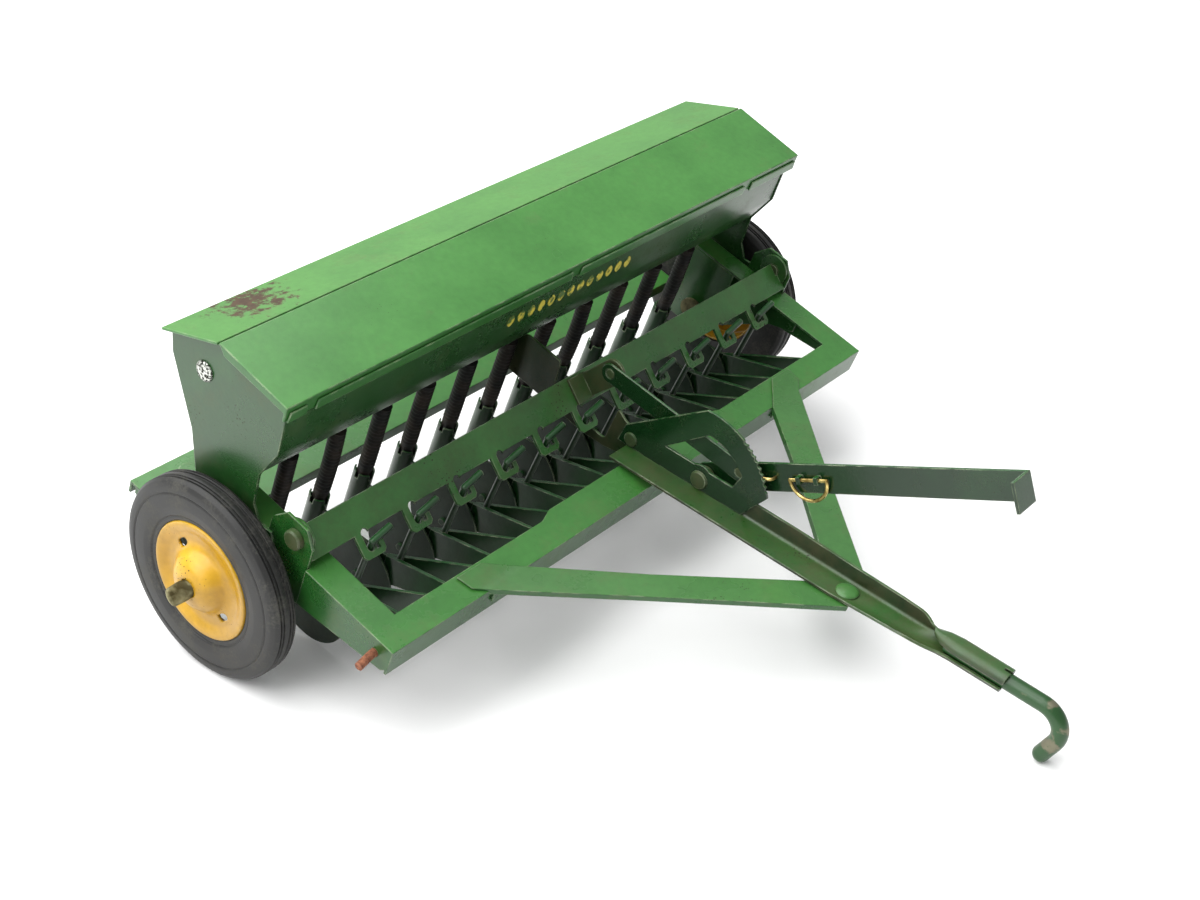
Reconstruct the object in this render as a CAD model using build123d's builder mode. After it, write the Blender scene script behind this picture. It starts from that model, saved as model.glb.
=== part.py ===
"""Pressed-steel model of a wheeled grain drill, standing on its wheels and its hitch rod."""
import os
from math import asin, atan2, cos, degrees, hypot, radians, sin

from build123d import *

os.makedirs("parts", exist_ok=True)

# Overall sizes. Chassis coordinates are (x, u, w): u runs rearwards, w up, both from the axle.
frame_width = 220.0
wheel_r = 30.0
axle_r = 2.5
axle_out = 21.0
axle_in = 11.0
sheet = 0.8
thin = 0.6
running = 0.05
gap = 0.3

# Frame: one folded sheet with an open middle.
deck_w = 21.7
frame_front = -57.5
frame_rear = 20.0
bar_depth = 9.1
rail_width = 9.5
flange_depth = 8.8
flange_depth_rear = 13.2
flange_rear = -24.5
well_rear = 12.0

# Layers outwards from the middle at each side of the frame.
side_outer = frame_width / 2
axle_half = side_outer + axle_out
axle_inner = side_outer - axle_in
panel_inner = side_outer - sheet
bracket_inner = panel_inner - sheet
bar_half = bracket_inner - gap
well_side = side_outer - 8.7

# Lift bar and the linkage that turns it.
bar_pivot = (-18.3, 28.1)
bar_top = (-16.8, 29.8)
bar_tilt = 35.2
bar_height = 9.5
bar_sheet = 0.9
pivot_r = 2.0
lever_pivot = (-68.0, 30.9)
link_arm = (-9.2, 10.2)
lever_pin = (lever_pivot[0] + link_arm[0], lever_pivot[1] + link_arm[1])
crank_pin = (bar_pivot[0] + link_arm[0], bar_pivot[1] + link_arm[1])
pin_r = 1.5

# Openers.
opener_count = 11
opener_pitch = 17.9
arm_pivot = (-52.2, 16.9)
arm_rod_r = 1.2
arm_spread = opener_pitch / 2 - 1.75
arm_join = (-24.6, -3.7)
disc_centre = (-16.0, -11.3)
disc_r = 13.4
disc_sheet = 0.6
disc_side = -1.9
disc_pin_r = 1.1
boot_u = 5.7
boot_r = 3.1
boot_top = 0.5
boot_bottom = -17.0
tube_r = 2.3
finger = (-27.9, 23.57)
finger_r = 1.0
finger_length = 0.4 * opener_pitch
hook_slot = 2.7
hook_reach = 7.4

# Hopper.
hopper_half = panel_inner
lid_half = side_outer + 2.0
front_wall = [(-5.6, 65.0), (-6.0, 49.0), (-1.8, 37.7), (5.0, 27.2)]
rear_wall = [(5.0, 27.2), (21.0, 27.2), (23.4, 33.0), (36.0, 56.0)]
lid_path = [(-7.2, 62.4), (-7.2, 67.2), (18.5, 68.4)]
cover_path = [(19.3, 67.9), (38.5, 57.5)]
panel_pin = (22.8, 54.1)

# Footboard.
board_front = 15.9
board_rear = 41.2
board_w = -4.1
board_flange = 4.3

# Tongue, braces and hitch.
tongue_rise = 10.9
tongue_foot = (-42.5, 22.7)
floor_left = -6.0
wall_x = 3.0
rivet_u = -123.0
rivet_x = -1.5
brace_rise = 12.7
rod_r = 2.4
bend_r = 7.0
sleeve_end = -171.7
rod_start = -153.0
bend_start = -182.5
rod_above_floor = 1.7
leg_length = 6.0
leg_lean = 9.8

# Wheels.
tyre_inner = side_outer + 2.2
tyre_outer = tyre_inner + 9.0
rim_r = 17.7
hub_face = tyre_outer + 3.8


def floor_w(u):
    """Height of the tongue floor's top face."""
    return tongue_foot[1] + (tongue_foot[0] - u) * sin(radians(tongue_rise)) / cos(radians(tongue_rise))


# The bend of the hitch rod sets how far the nose drops before the rod's tip meets the floor.
bend_from = (bend_start, floor_w(bend_start) + rod_above_floor)
bend_centre = (
    bend_from[0] - bend_r * sin(radians(tongue_rise)),
    bend_from[1] - bend_r * cos(radians(tongue_rise)),
)
leg_top = (
    bend_centre[0] - bend_r * cos(radians(leg_lean)),
    bend_centre[1] - bend_r * sin(radians(leg_lean)),
)
middle_angle = radians((90 - tongue_rise + 180 + leg_lean) / 2)
bend_middle = (
    bend_centre[0] + bend_r * cos(middle_angle),
    bend_centre[1] + bend_r * sin(middle_angle),
)
rod_tip = (
    leg_top[0] + leg_length * sin(radians(leg_lean)),
    leg_top[1] - leg_length * cos(radians(leg_lean)),
)
nose_angle = atan2(rod_tip[1], -rod_tip[0])
rest_tilt = nose_angle + asin((wheel_r - rod_r) / hypot(*rod_tip))
nose_y = bend_centre[0] * cos(rest_tilt) - bend_centre[1] * sin(rest_tilt) - bend_r - rod_r
rear_y = board_rear * cos(rest_tilt) - (board_w - board_flange) * sin(rest_tilt)
axle_y = -(nose_y + max(wheel_r, rear_y)) / 2


def world(x, u, w):
    """Chassis coordinates to the row frame."""
    y = axle_y + u * cos(rest_tilt) - w * sin(rest_tilt)
    z = wheel_r + u * sin(rest_tilt) + w * cos(rest_tilt)
    return (x, y, z)


def side(x, u=0.0, w=0.0):
    """Plane across the machine: local x is u, local y is w, normal is +X."""
    return Plane(
        origin=world(x, u, w),
        x_dir=(0, cos(rest_tilt), sin(rest_tilt)),
        z_dir=(1, 0, 0),
    )


def deck(w, u=0.0, x=0.0, rise=0.0):
    """Plane along the machine: local y is u, normal is +w, its nose raised by rise degrees."""
    angle = rest_tilt - radians(rise)
    return Plane(origin=world(x, u, w), x_dir=(1, 0, 0), z_dir=(0, -sin(angle), cos(angle)))


def bent_sheet(path, thickness):
    """Closed outline of a folded sheet whose thickness lies to the right of the path."""
    normals = []
    for start, end in zip(path, path[1:]):
        length = hypot(end[0] - start[0], end[1] - start[1])
        normals.append(((end[1] - start[1]) / length, -(end[0] - start[0]) / length))
    shifted = []
    for index, point in enumerate(path):
        before = normals[max(index - 1, 0)]
        after = normals[min(index, len(normals) - 1)]
        scale = thickness / (1 + before[0] * after[0] + before[1] * after[1])
        shift = ((before[0] + after[0]) * scale, (before[1] + after[1]) * scale)
        shifted.append((point[0] + shift[0], point[1] + shift[1]))
    return path + shifted[::-1]


def opener_x(index):
    return (index - (opener_count - 1) / 2) * opener_pitch


def name_and_save(piece, label):
    piece.part.label = label
    export_step(piece.part, f"parts/{label}.step")


# ---------------------------------------------------------------- frame
bar_mid = frame_front + bar_depth / 2
inner_half = side_outer - rail_width
with BuildPart() as frame:
    with BuildSketch(deck(deck_w - sheet)):
        with Locations((0, (frame_front + frame_rear) / 2)):
            Rectangle(frame_width, frame_rear - frame_front)
        with Locations((0, (frame_front + bar_depth + well_rear) / 2)):
            Rectangle(2 * inner_half, well_rear - frame_front - bar_depth, mode=Mode.SUBTRACT)
        with Locations((0, (flange_rear + frame_rear) / 2)):
            for strip_x in (-side_outer, side_outer):
                with Locations((strip_x, 0)):
                    Rectangle(2 * (side_outer - bracket_inner), frame_rear - flange_rear, mode=Mode.SUBTRACT)
        Polygon(
            (-42, frame_front + bar_depth),
            (42, frame_front + bar_depth),
            (37, frame_front + bar_depth + 1.9),
            (-37, frame_front + bar_depth + 1.9),
            align=None,
        )
    extrude(amount=sheet)
    with BuildSketch(side(-side_outer)):
        Polygon(
            (frame_front, deck_w),
            (frame_front, deck_w - flange_depth),
            (frame_front + sheet, deck_w - flange_depth),
            (frame_front + sheet, deck_w),
            align=None,
        )
    extrude(amount=frame_width)
    for flange_x in (-side_outer, panel_inner):
        with BuildSketch(side(flange_x)):
            Polygon(
                (frame_front, deck_w),
                (frame_front, deck_w - flange_depth + 2),
                (frame_front + 2, deck_w - flange_depth),
                (flange_rear, deck_w - flange_depth_rear),
                (flange_rear, deck_w),
                align=None,
            )
            with Locations(arm_pivot):
                Circle(arm_rod_r + running, mode=Mode.SUBTRACT)
        extrude(amount=sheet)
name_and_save(frame, "frame")

# ---------------------------------------------------------------- side brackets
bracket_points = [
    (-34.0, 20.7),
    (-34.0, 11.6),
    (-24.0, 7.6),
    (-9.0, -5.5),
    (-4.5, -8.0),
    (4.5, -8.0),
    (34.0, -11.0),
    (39.5, -8.0),
    (39.5, board_w - sheet),
    (14.0, board_w - sheet),
    (12.0, 6.0),
    (12.0, 20.7),
]
ear_points = [(-24.4, 19.0), (-24.4, 28.5), (-21.0, 33.5), (-13.5, 33.5), (-9.0, 28.0), (-9.0, 19.0)]


def side_bracket(x, inner_x):
    with BuildPart() as bracket:
        with BuildSketch(side(x)) as outline:
            Polygon(*bracket_points, align=None)
            Polygon(*ear_points, align=None)
            fillet(outline.vertices().sort_by(Axis.Z)[-2:], 2.5)
            Circle(axle_r + running, mode=Mode.SUBTRACT)
            with Locations(bar_pivot):
                Circle(pivot_r + running, mode=Mode.SUBTRACT)
        extrude(amount=sheet)
        with BuildSketch(side(inner_x)):
            Polygon((-9, -5.5), (-4.5, -8), (9, -8), (9, 20.7), (-9, 20.7), align=None)
            Circle(axle_r + running, mode=Mode.SUBTRACT)
        extrude(amount=sheet)
        with BuildSketch(side(min(x, inner_x))):
            Polygon((-4.5, -8), (9, -8), (9, -7.2), (-4.5, -7.2), align=None)
        extrude(amount=bracket_inner - well_side + sheet)
    return bracket


name_and_save(side_bracket(-panel_inner, -well_side), "bracket_left")
name_and_save(side_bracket(bracket_inner, well_side - sheet), "bracket_right")

# ---------------------------------------------------------------- footboard
board_path = [(board_front, board_w), (board_rear, board_w), (board_rear, board_w - board_flange)]
with BuildPart() as footboard:
    with BuildSketch(side(-side_outer)):
        Polygon(*bent_sheet(board_path, sheet), align=None)
    extrude(amount=frame_width)
    with BuildSketch(side(-bracket_inner + gap)):
        Polygon(
            (board_front, board_w),
            (board_front, board_w - board_flange),
            (board_front + sheet, board_w - board_flange),
            (board_front + sheet, board_w),
            align=None,
        )
    extrude(amount=2 * (bracket_inner - gap))
    with BuildSketch(deck(board_w)):
        with Locations((16 - side_outer, 35.5), (side_outer - 16, 35.5)):
            Circle(2.6)
    extrude(amount=0.5)
name_and_save(footboard, "footboard")

# ---------------------------------------------------------------- stub axles
crimp_start = hub_face + 0.6


def stub_axle(inner_x, crimp_x, start_x):
    with BuildPart() as axle:
        with BuildSketch(side(start_x)):
            Circle(axle_r)
        extrude(amount=crimp_start - axle_inner)
        with BuildSketch(side(crimp_x)):
            SlotOverall(6.4, 2.8, rotation=35)
        extrude(amount=axle_half - crimp_start)
        with BuildSketch(side(inner_x)):
            Circle(axle_r + 1.2)
        extrude(amount=1.2)
    return axle


name_and_save(stub_axle(-axle_inner - 1.2, -axle_half, -crimp_start), "axle_left")
name_and_save(stub_axle(axle_inner, crimp_start, axle_inner), "axle_right")

# ---------------------------------------------------------------- hopper
panel_points = [
    (-5.8, 65.8),
    (18.5, 67.0),
    (36.6, 57.2),
    (35.0, 51.0),
    (23.3, 32.7),
    (18.9, 20.2),
    (17.0, 4.0),
    (8.0, -6.0),
    (0.0, -8.0),
    (-7.0, -5.0),
    (-9.0, 8.0),
    (-12.4, 20.0),
    (-10.6, 23.4),
    (-6.3, 22.6),
    (-2.8, 27.2),
    (-2.2, 37.7),
    (-6.4, 48.9),
]


def end_panel(x):
    with BuildPart() as panel:
        with BuildSketch(side(x)):
            Polygon(*panel_points, align=None)
            Circle(axle_r + running, mode=Mode.SUBTRACT)
            with Locations(panel_pin):
                Circle(pin_r + running, mode=Mode.SUBTRACT)
        extrude(amount=sheet)
    return panel


name_and_save(end_panel(-side_outer), "end_panel_left")
name_and_save(end_panel(panel_inner), "end_panel_right")

with BuildPart() as hopper:
    with BuildSketch(side(-hopper_half)):
        Polygon(*bent_sheet(front_wall + rear_wall[1:], -sheet), align=None)
    extrude(amount=2 * hopper_half)
    with BuildSketch(deck(front_wall[-1][1] - 1, boot_u)):
        for index in range(opener_count):
            with Locations((opener_x(index), 0)):
                Circle(tube_r - 0.5)
    extrude(amount=3, mode=Mode.SUBTRACT)
name_and_save(hopper, "hopper")

with BuildPart() as rear_cover:
    with BuildSketch(side(-lid_half)):
        Polygon(*bent_sheet(cover_path, sheet), align=None)
    extrude(amount=2 * lid_half)
name_and_save(rear_cover, "rear_cover")

with BuildPart() as lid:
    with BuildSketch(side(-lid_half)):
        Polygon(*bent_sheet(lid_path, sheet), align=None)
    extrude(amount=2 * lid_half)
    for flange_x in (-lid_half, lid_half - sheet):
        with BuildSketch(side(flange_x)):
            Polygon((-7.2, 66.8), (-7.2, 64.9), (16.0, 65.6), (18.2, 68.0), align=None)
        extrude(amount=sheet)
name_and_save(lid, "lid")

with BuildPart() as panel_pins:
    for shank_x, head_x in ((-side_outer, -side_outer - 1), (hopper_half - 2, side_outer)):
        with BuildSketch(side(shank_x, *panel_pin)):
            Circle(pin_r)
        extrude(amount=sheet + 2)
        with BuildSketch(side(head_x, *panel_pin)):
            Circle(2 * pin_r)
        extrude(amount=1)
name_and_save(panel_pins, "panel_pins")

# ---------------------------------------------------------------- lift bar
bar_slope = rest_tilt + radians(bar_tilt)
bar_plane = Plane(
    origin=world(0, *bar_top),
    x_dir=(1, 0, 0),
    z_dir=(0, -sin(bar_slope), cos(bar_slope)),
)
hook_low = -bar_height - hook_reach
hook_points = [
    (-3.6, -bar_height),
    (-3.6, hook_low + 1),
    (-2.6, hook_low),
    (3.4, hook_low),
    (4.4, hook_low + 1),
    (4.4, hook_low + 3.4),
    (2.8, hook_low + 3.4),
    (2.8, hook_low + 1.7),
    (hook_slot / 2, hook_low + 1.7),
    (hook_slot / 2, -bar_height),
]
with BuildPart() as lift_bar:
    with BuildSketch(bar_plane):
        with Locations((0, -bar_height / 2)):
            Rectangle(2 * bar_half, bar_height)
        for index in range(opener_count):
            with Locations((opener_x(index), 0)):
                Polygon(*hook_points, align=None)
            with Locations((opener_x(index), hook_low + 1.7 + 3.3)):
                SlotOverall(6.6, hook_slot, rotation=90, mode=Mode.SUBTRACT)
    extrude(amount=-bar_sheet)
    for ear_x in (-bar_half, bar_half - sheet):
        with BuildSketch(side(ear_x)):
            with Locations(bar_pivot):
                Circle(5.2)
            Polygon(
                bar_top,
                (bar_top[0] - 7.6, bar_top[1] - 5.4),
                (bar_top[0] - 6.5, bar_top[1] - 7.0),
                (bar_top[0] - 1.0, bar_top[1] - 6.0),
                align=None,
            )
            with Locations(bar_pivot):
                Circle(pivot_r + running, mode=Mode.SUBTRACT)
        extrude(amount=sheet)
    for hole_x in (-bar_half, bar_half - 2 * sheet):
        with BuildSketch(side(hole_x)):
            with Locations(bar_pivot):
                Circle(pivot_r + running)
        extrude(amount=2 * sheet, mode=Mode.SUBTRACT)
name_and_save(lift_bar, "lift_bar")

with BuildPart() as bar_rivets:
    for shank_x, head_x in ((-panel_inner, -panel_inner - 2), (bar_half - sheet - 0.2, panel_inner)):
        with BuildSketch(side(shank_x, *bar_pivot)):
            Circle(pivot_r)
        extrude(amount=panel_inner - bar_half + sheet + 0.2)
        with BuildSketch(side(head_x, *bar_pivot)):
            Circle(pivot_r + 1)
        extrude(amount=2)
name_and_save(bar_rivets, "bar_rivets")

# ---------------------------------------------------------------- lever linkage
wall_outer = wall_x + sheet
link_x = wall_outer + 2 * gap
lever_x = link_x + sheet + 2 * gap
lever_sheet = 1.0
with BuildPart() as crank:
    with BuildSketch(bar_plane):
        with Locations((3.2, -bar_height / 2)):
            Rectangle(2 * (lever_x + lever_sheet - 3.2), bar_height - 1.4)
    extrude(amount=bar_sheet)
    with BuildSketch(side(lever_x)):
        with Locations(crank_pin):
            Circle(4)
        Polygon(
            (bar_top[0] - 1.2, bar_top[1] + 0.2),
            (bar_top[0] - 7.2, bar_top[1] - 4.2),
            (crank_pin[0] - 3.4, crank_pin[1] - 2.1),
            (crank_pin[0] + 2.9, crank_pin[1] + 2.8),
            align=None,
        )
        with Locations(crank_pin):
            Circle(pin_r, mode=Mode.SUBTRACT)
    extrude(amount=lever_sheet)
name_and_save(crank, "crank")


def linkage_pin(position):
    with BuildPart() as pin:
        with BuildSketch(side(link_x, *position)):
            Circle(pin_r)
        extrude(amount=lever_x + lever_sheet - link_x)
        with BuildSketch(side(lever_x + lever_sheet, *position)):
            Circle(pin_r + 1)
        extrude(amount=0.8)
    return pin


name_and_save(linkage_pin(crank_pin), "crank_pin")
name_and_save(linkage_pin(lever_pin), "lever_pin")

link_length = hypot(crank_pin[0] - lever_pin[0], crank_pin[1] - lever_pin[1])
link_angle = degrees(atan2(crank_pin[1] - lever_pin[1], crank_pin[0] - lever_pin[0]))
link_mid = ((crank_pin[0] + lever_pin[0]) / 2, (crank_pin[1] + lever_pin[1]) / 2)
with BuildPart() as link:
    with BuildSketch(side(link_x)):
        with Locations(link_mid):
            SlotCenterToCenter(link_length, 6.4, rotation=link_angle)
        with Locations(crank_pin, lever_pin):
            Circle(pin_r + running, mode=Mode.SUBTRACT)
    extrude(amount=sheet)
name_and_save(link, "link")

lever_angle = 139.3
lever_length = 105.4
lever_width = 8.6
ring_along = 37.0
ring_r = 6.2
pad_reach = 7.5
latch_along = 25.0
wire_r = 0.55
lever_frame = Plane(
    origin=world(lever_x, *lever_pivot),
    x_dir=(
        0,
        cos(rest_tilt + radians(lever_angle)),
        sin(rest_tilt + radians(lever_angle)),
    ),
    z_dir=(1, 0, 0),
)
arm_length = hypot(*link_arm)
arm_lead = 180 - degrees(atan2(link_arm[1], -link_arm[0])) - lever_angle
with BuildPart() as lever:
    with BuildSketch(lever_frame):
        Polygon(
            (0, -3.8),
            (20, -lever_width / 2),
            (lever_length, -lever_width / 2),
            (lever_length, lever_width / 2),
            (20, lever_width / 2),
            (0, 3.8),
            align=None,
        )
        Circle(3.8)
        Circle(pivot_r + running, mode=Mode.SUBTRACT)
        with Locations((arm_length * cos(radians(arm_lead)), arm_length * sin(radians(arm_lead)))):
            Circle(pin_r, mode=Mode.SUBTRACT)
    extrude(amount=lever_sheet)
    with BuildSketch(lever_frame):
        with Locations((ring_along - 3, 0), (ring_along + 3, 0)):
            Rectangle(1.4, 2.2)
    extrude(amount=-2.0)
    with Locations(lever_frame.location * Location((ring_along, 0, -1.1))):
        Cylinder(wire_r + running, 12, rotation=(0, 90, 0), mode=Mode.SUBTRACT)
    with BuildSketch(lever_frame):
        with Locations((lever_length - lever_sheet / 2, 0)):
            Rectangle(lever_sheet, lever_width)
    extrude(amount=-pad_reach)
    with BuildSketch(lever_frame):
        with Locations((latch_along, 0)):
            Circle(wire_r + running)
    extrude(amount=lever_sheet, mode=Mode.SUBTRACT)
name_and_save(lever, "lever")

ring_place = lever_frame.location * Location((ring_along, 0, -1.1))
with BuildPart() as trip_ring:
    with Locations(ring_place):
        Cylinder(wire_r, 2 * ring_r, rotation=(0, 90, 0))
        Torus(ring_r, wire_r, major_angle=180, align=(Align.CENTER, Align.MIN, Align.CENTER))
    with Locations(ring_place * Location((-ring_r, 0, 0)), ring_place * Location((ring_r, 0, 0))):
        Sphere(wire_r)
name_and_save(trip_ring, "trip_ring")

with BuildPart() as latch_wire:
    with BuildSketch(lever_frame.offset(-2.0)):
        with Locations((latch_along, 0)):
            Circle(wire_r)
    extrude(amount=lever_sheet + 3)
    with Locations(lever_frame.location * Location((latch_along - 4, 0, -2.0))):
        Cylinder(wire_r, 8, rotation=(0, 90, 0))
        Sphere(wire_r)
name_and_save(latch_wire, "latch_wire")

# ---------------------------------------------------------------- tongue
tongue_length = (tongue_foot[0] - rod_start) / cos(radians(tongue_rise))
rod_axis = deck(floor_w(rod_start) + rod_above_floor, rod_start, 0, tongue_rise)
sleeve_length = (rod_start - sleeve_end) / cos(radians(tongue_rise))
with BuildPart() as tongue:
    with BuildSketch(deck(tongue_foot[1] - sheet, tongue_foot[0], 0, tongue_rise)):
        Polygon(
            (floor_left, 0),
            (wall_x, 0),
            (wall_x, -tongue_length),
            (floor_left + 3, -tongue_length),
            (floor_left, -tongue_length + 4),
            align=None,
        )
    extrude(amount=sheet)
    with BuildSketch(side(wall_x)):
        Polygon(
            (9.0, front_wall[-1][1]),
            (5.0, front_wall[-1][1]),
            (2.6, 30.4),
            (-11.5, 30.6),
            (-12.5, 18.0),
            (-34.5, 18.0),
            (-35.2, 31.0),
            (-39.6, 28.8),
            (-69.7, 33.9),
            (-101.9, 39.9),
            (-118.8, 42.3),
            (-135.7, 44.4),
            (-150.0, floor_w(-150) + 0.6),
            (rod_start, floor_w(rod_start)),
            (rod_start, floor_w(rod_start) - sheet),
            (-70.0, floor_w(-70) - sheet),
            (-58.5, deck_w),
            (-46.0, deck_w),
            (-42.5, 17.9),
            (-36.0, 15.6),
            (-28.0, 14.2),
            (6.0, 14.2),
            (9.0, 20.0),
            align=None,
        )
        with Locations(lever_pivot):
            Circle(pivot_r + running, mode=Mode.SUBTRACT)
        with Locations((-43.1, 25.6)):
            Circle(pin_r + running, mode=Mode.SUBTRACT)
    extrude(amount=sheet)
    with BuildSketch(Plane(origin=rod_axis.origin, z_dir=-rod_axis.y_dir, x_dir=(1, 0, 0))):
        Circle(rod_r + sheet)
    extrude(amount=-3)
    with BuildSketch(Plane(origin=rod_axis.origin, z_dir=-rod_axis.y_dir, x_dir=(1, 0, 0))):
        Circle(rod_r + sheet)
    extrude(amount=sleeve_length)
    with BuildSketch(Plane(origin=rod_axis.origin, z_dir=-rod_axis.y_dir, x_dir=(1, 0, 0))):
        Circle(rod_r + running)
    extrude(amount=sleeve_length, mode=Mode.SUBTRACT)
    with Locations(deck(floor_w(rivet_u), rivet_u, rivet_x, tongue_rise).location):
        Cylinder(pin_r + running, 4, mode=Mode.SUBTRACT)
name_and_save(tongue, "tongue")

with BuildPart() as hitch_rod:
    with BuildLine(side(0)) as rod_path:
        Line((rod_start - 0.4, floor_w(rod_start - 0.4) + rod_above_floor), bend_from)
        ThreePointArc(bend_from, bend_middle, leg_top)
        Line(leg_top, rod_tip)
    with BuildSketch(Plane(origin=rod_path.line @ 0, z_dir=rod_path.line % 0)):
        Circle(rod_r)
    sweep()
    with Locations(world(0, *rod_tip)):
        Sphere(rod_r)
name_and_save(hitch_rod, "hitch_rod")

with BuildPart() as tongue_rivet:
    with Locations(deck(floor_w(rivet_u) + running, rivet_u, rivet_x, tongue_rise).location):
        Cylinder(pin_r, 3.2)
        Cylinder(3.4, 1.0, align=(Align.CENTER, Align.CENTER, Align.MIN))
name_and_save(tongue_rivet, "tongue_rivet")

# ---------------------------------------------------------------- quadrant
arc_r = 23.6
arc_low = 28.0
arc_high = 106.5
tooth_pitch = 4.6


def around_pivot(radius, angle):
    """Point at a radius from the lever pivot, its angle measured up from dead ahead."""
    return (
        lever_pivot[0] - radius * cos(radians(angle)),
        lever_pivot[1] + radius * sin(radians(angle)),
    )


def arc_points(radius, first, last):
    steps = 12
    return [around_pivot(radius, first + (last - first) * step / steps) for step in range(steps + 1)]


with BuildPart() as quadrant:
    with BuildSketch(side(wall_x - sheet)):
        Polygon(
            (-39.0, floor_w(-39.0) + 0.1),
            (-39.7, 29.0),
            *arc_points(arc_r, arc_high, arc_low),
            (-86.0, floor_w(-86.0) + 4.5),
            (-84.0, floor_w(-84.0) + 0.1),
            align=None,
        )
        Polygon(
            (-54.0, 32.5),
            *arc_points(arc_r - 7.5, arc_high - 6, arc_low + 18),
            (-78.0, 37.0),
            align=None,
            mode=Mode.SUBTRACT,
        )
        with Locations(lever_pivot):
            Circle(5)
            Circle(pivot_r + running, mode=Mode.SUBTRACT)
        with Locations((-43.1, 25.6)):
            Circle(pin_r + running, mode=Mode.SUBTRACT)
        Polygon(
            (-30.0, floor_w(-30.0) + 0.1),
            (-95.0, floor_w(-95.0) + 0.1),
            (-95.0, 10.0),
            (-30.0, 10.0),
            align=None,
            mode=Mode.SUBTRACT,
        )
        for tooth in range(9):
            with Locations(around_pivot(arc_r + 0.2, arc_low + 6 + tooth * tooth_pitch)):
                Circle(0.75, mode=Mode.SUBTRACT)
    extrude(amount=sheet)
name_and_save(quadrant, "quadrant")

with BuildPart() as quadrant_rivet:
    with BuildSketch(side(wall_x - sheet - 0.7, -43.1, 25.6)):
        Circle(2.4)
    extrude(amount=0.7)
    with BuildSketch(side(wall_x - sheet, -43.1, 25.6)):
        Circle(pin_r)
    extrude(amount=2 * sheet)
name_and_save(quadrant_rivet, "quadrant_rivet")

with BuildPart() as lever_rivet:
    with BuildSketch(side(wall_x - sheet - 0.8, *lever_pivot)):
        Circle(3.0)
    extrude(amount=0.8)
    with BuildSketch(side(wall_x - sheet, *lever_pivot)):
        Circle(pivot_r)
    extrude(amount=lever_x + lever_sheet + 0.1 - wall_x + sheet)
    with BuildSketch(side(lever_x + lever_sheet + 0.1, *lever_pivot)):
        Circle(3.2)
    extrude(amount=0.8)
    with BuildSketch(side(wall_outer, *lever_pivot)):
        Circle(3.2)
    extrude(amount=lever_x - wall_outer - 0.1)
name_and_save(lever_rivet, "lever_rivet")

# ---------------------------------------------------------------- braces
brace_start = (frame_front - 0.5, deck_w)
brace_run = cos(radians(brace_rise))


def along_brace(u):
    """Distance up the brace's slope to the point at u, negative towards the hitch."""
    return (u - brace_start[0]) / brace_run


def half_brace(side_sign, label):
    with BuildPart() as brace:
        with BuildSketch(deck(deck_w)):
            Polygon(
                (side_sign * 78.2, -49.4),
                (side_sign * 77.4, -54.4),
                (side_sign * 73.0, brace_start[0]),
                (side_sign * 58.4, brace_start[0]),
                (side_sign * 69.0, -49.4),
                align=None,
            )
        extrude(amount=sheet)
        with BuildSketch(deck(deck_w, brace_start[0], 0, brace_rise)):
            Polygon(
                (side_sign * 73.0, 0),
                (side_sign * 43.5, along_brace(-87.6)),
                (side_sign * 5.5, along_brace(-126.5)),
                (side_sign * 0.05, along_brace(-126.5)),
                (side_sign * 0.05, along_brace(-117.0)),
                (side_sign * 36.0, along_brace(-81.8)),
                (side_sign * 58.4, 0),
                align=None,
            )
            with Locations((rivet_x, along_brace(rivet_u))):
                Circle(pin_r + 2 * gap, mode=Mode.SUBTRACT)
        extrude(amount=sheet)
        with BuildSketch(side(min(side_sign * 60.5, side_sign * 72.0))):
            Polygon(
                (brace_start[0] + 0.45, deck_w + sheet),
                (brace_start[0] + 0.45, deck_w - 5.5),
                (brace_start[0] - 0.3, deck_w - 5.5),
                (brace_start[0] - 0.3, deck_w + sheet),
                align=None,
            )
        extrude(amount=11.5)
    name_and_save(brace, label)


half_brace(-1, "brace_left")
half_brace(1, "brace_right")

# ---------------------------------------------------------------- openers
rod_bend = 10.0
with BuildPart() as pivot_rod:
    with BuildSketch(side(-side_outer - 1, *arm_pivot)):
        Circle(arm_rod_r)
    extrude(amount=frame_width + 2)
    with Locations(world(-side_outer - 1, *arm_pivot)):
        Sphere(arm_rod_r)
    with BuildSketch(
        Plane(
            origin=world(-side_outer - 1, *arm_pivot),
            z_dir=(-cos(radians(rod_bend)), -0.8 * sin(radians(rod_bend)), -0.6 * sin(radians(rod_bend))),
        )
    ):
        Circle(arm_rod_r)
    extrude(amount=5.5)
name_and_save(pivot_rod, "pivot_rod")

arm_slope = (arm_join[1] - arm_pivot[1]) / (arm_join[0] - arm_pivot[0])


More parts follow.
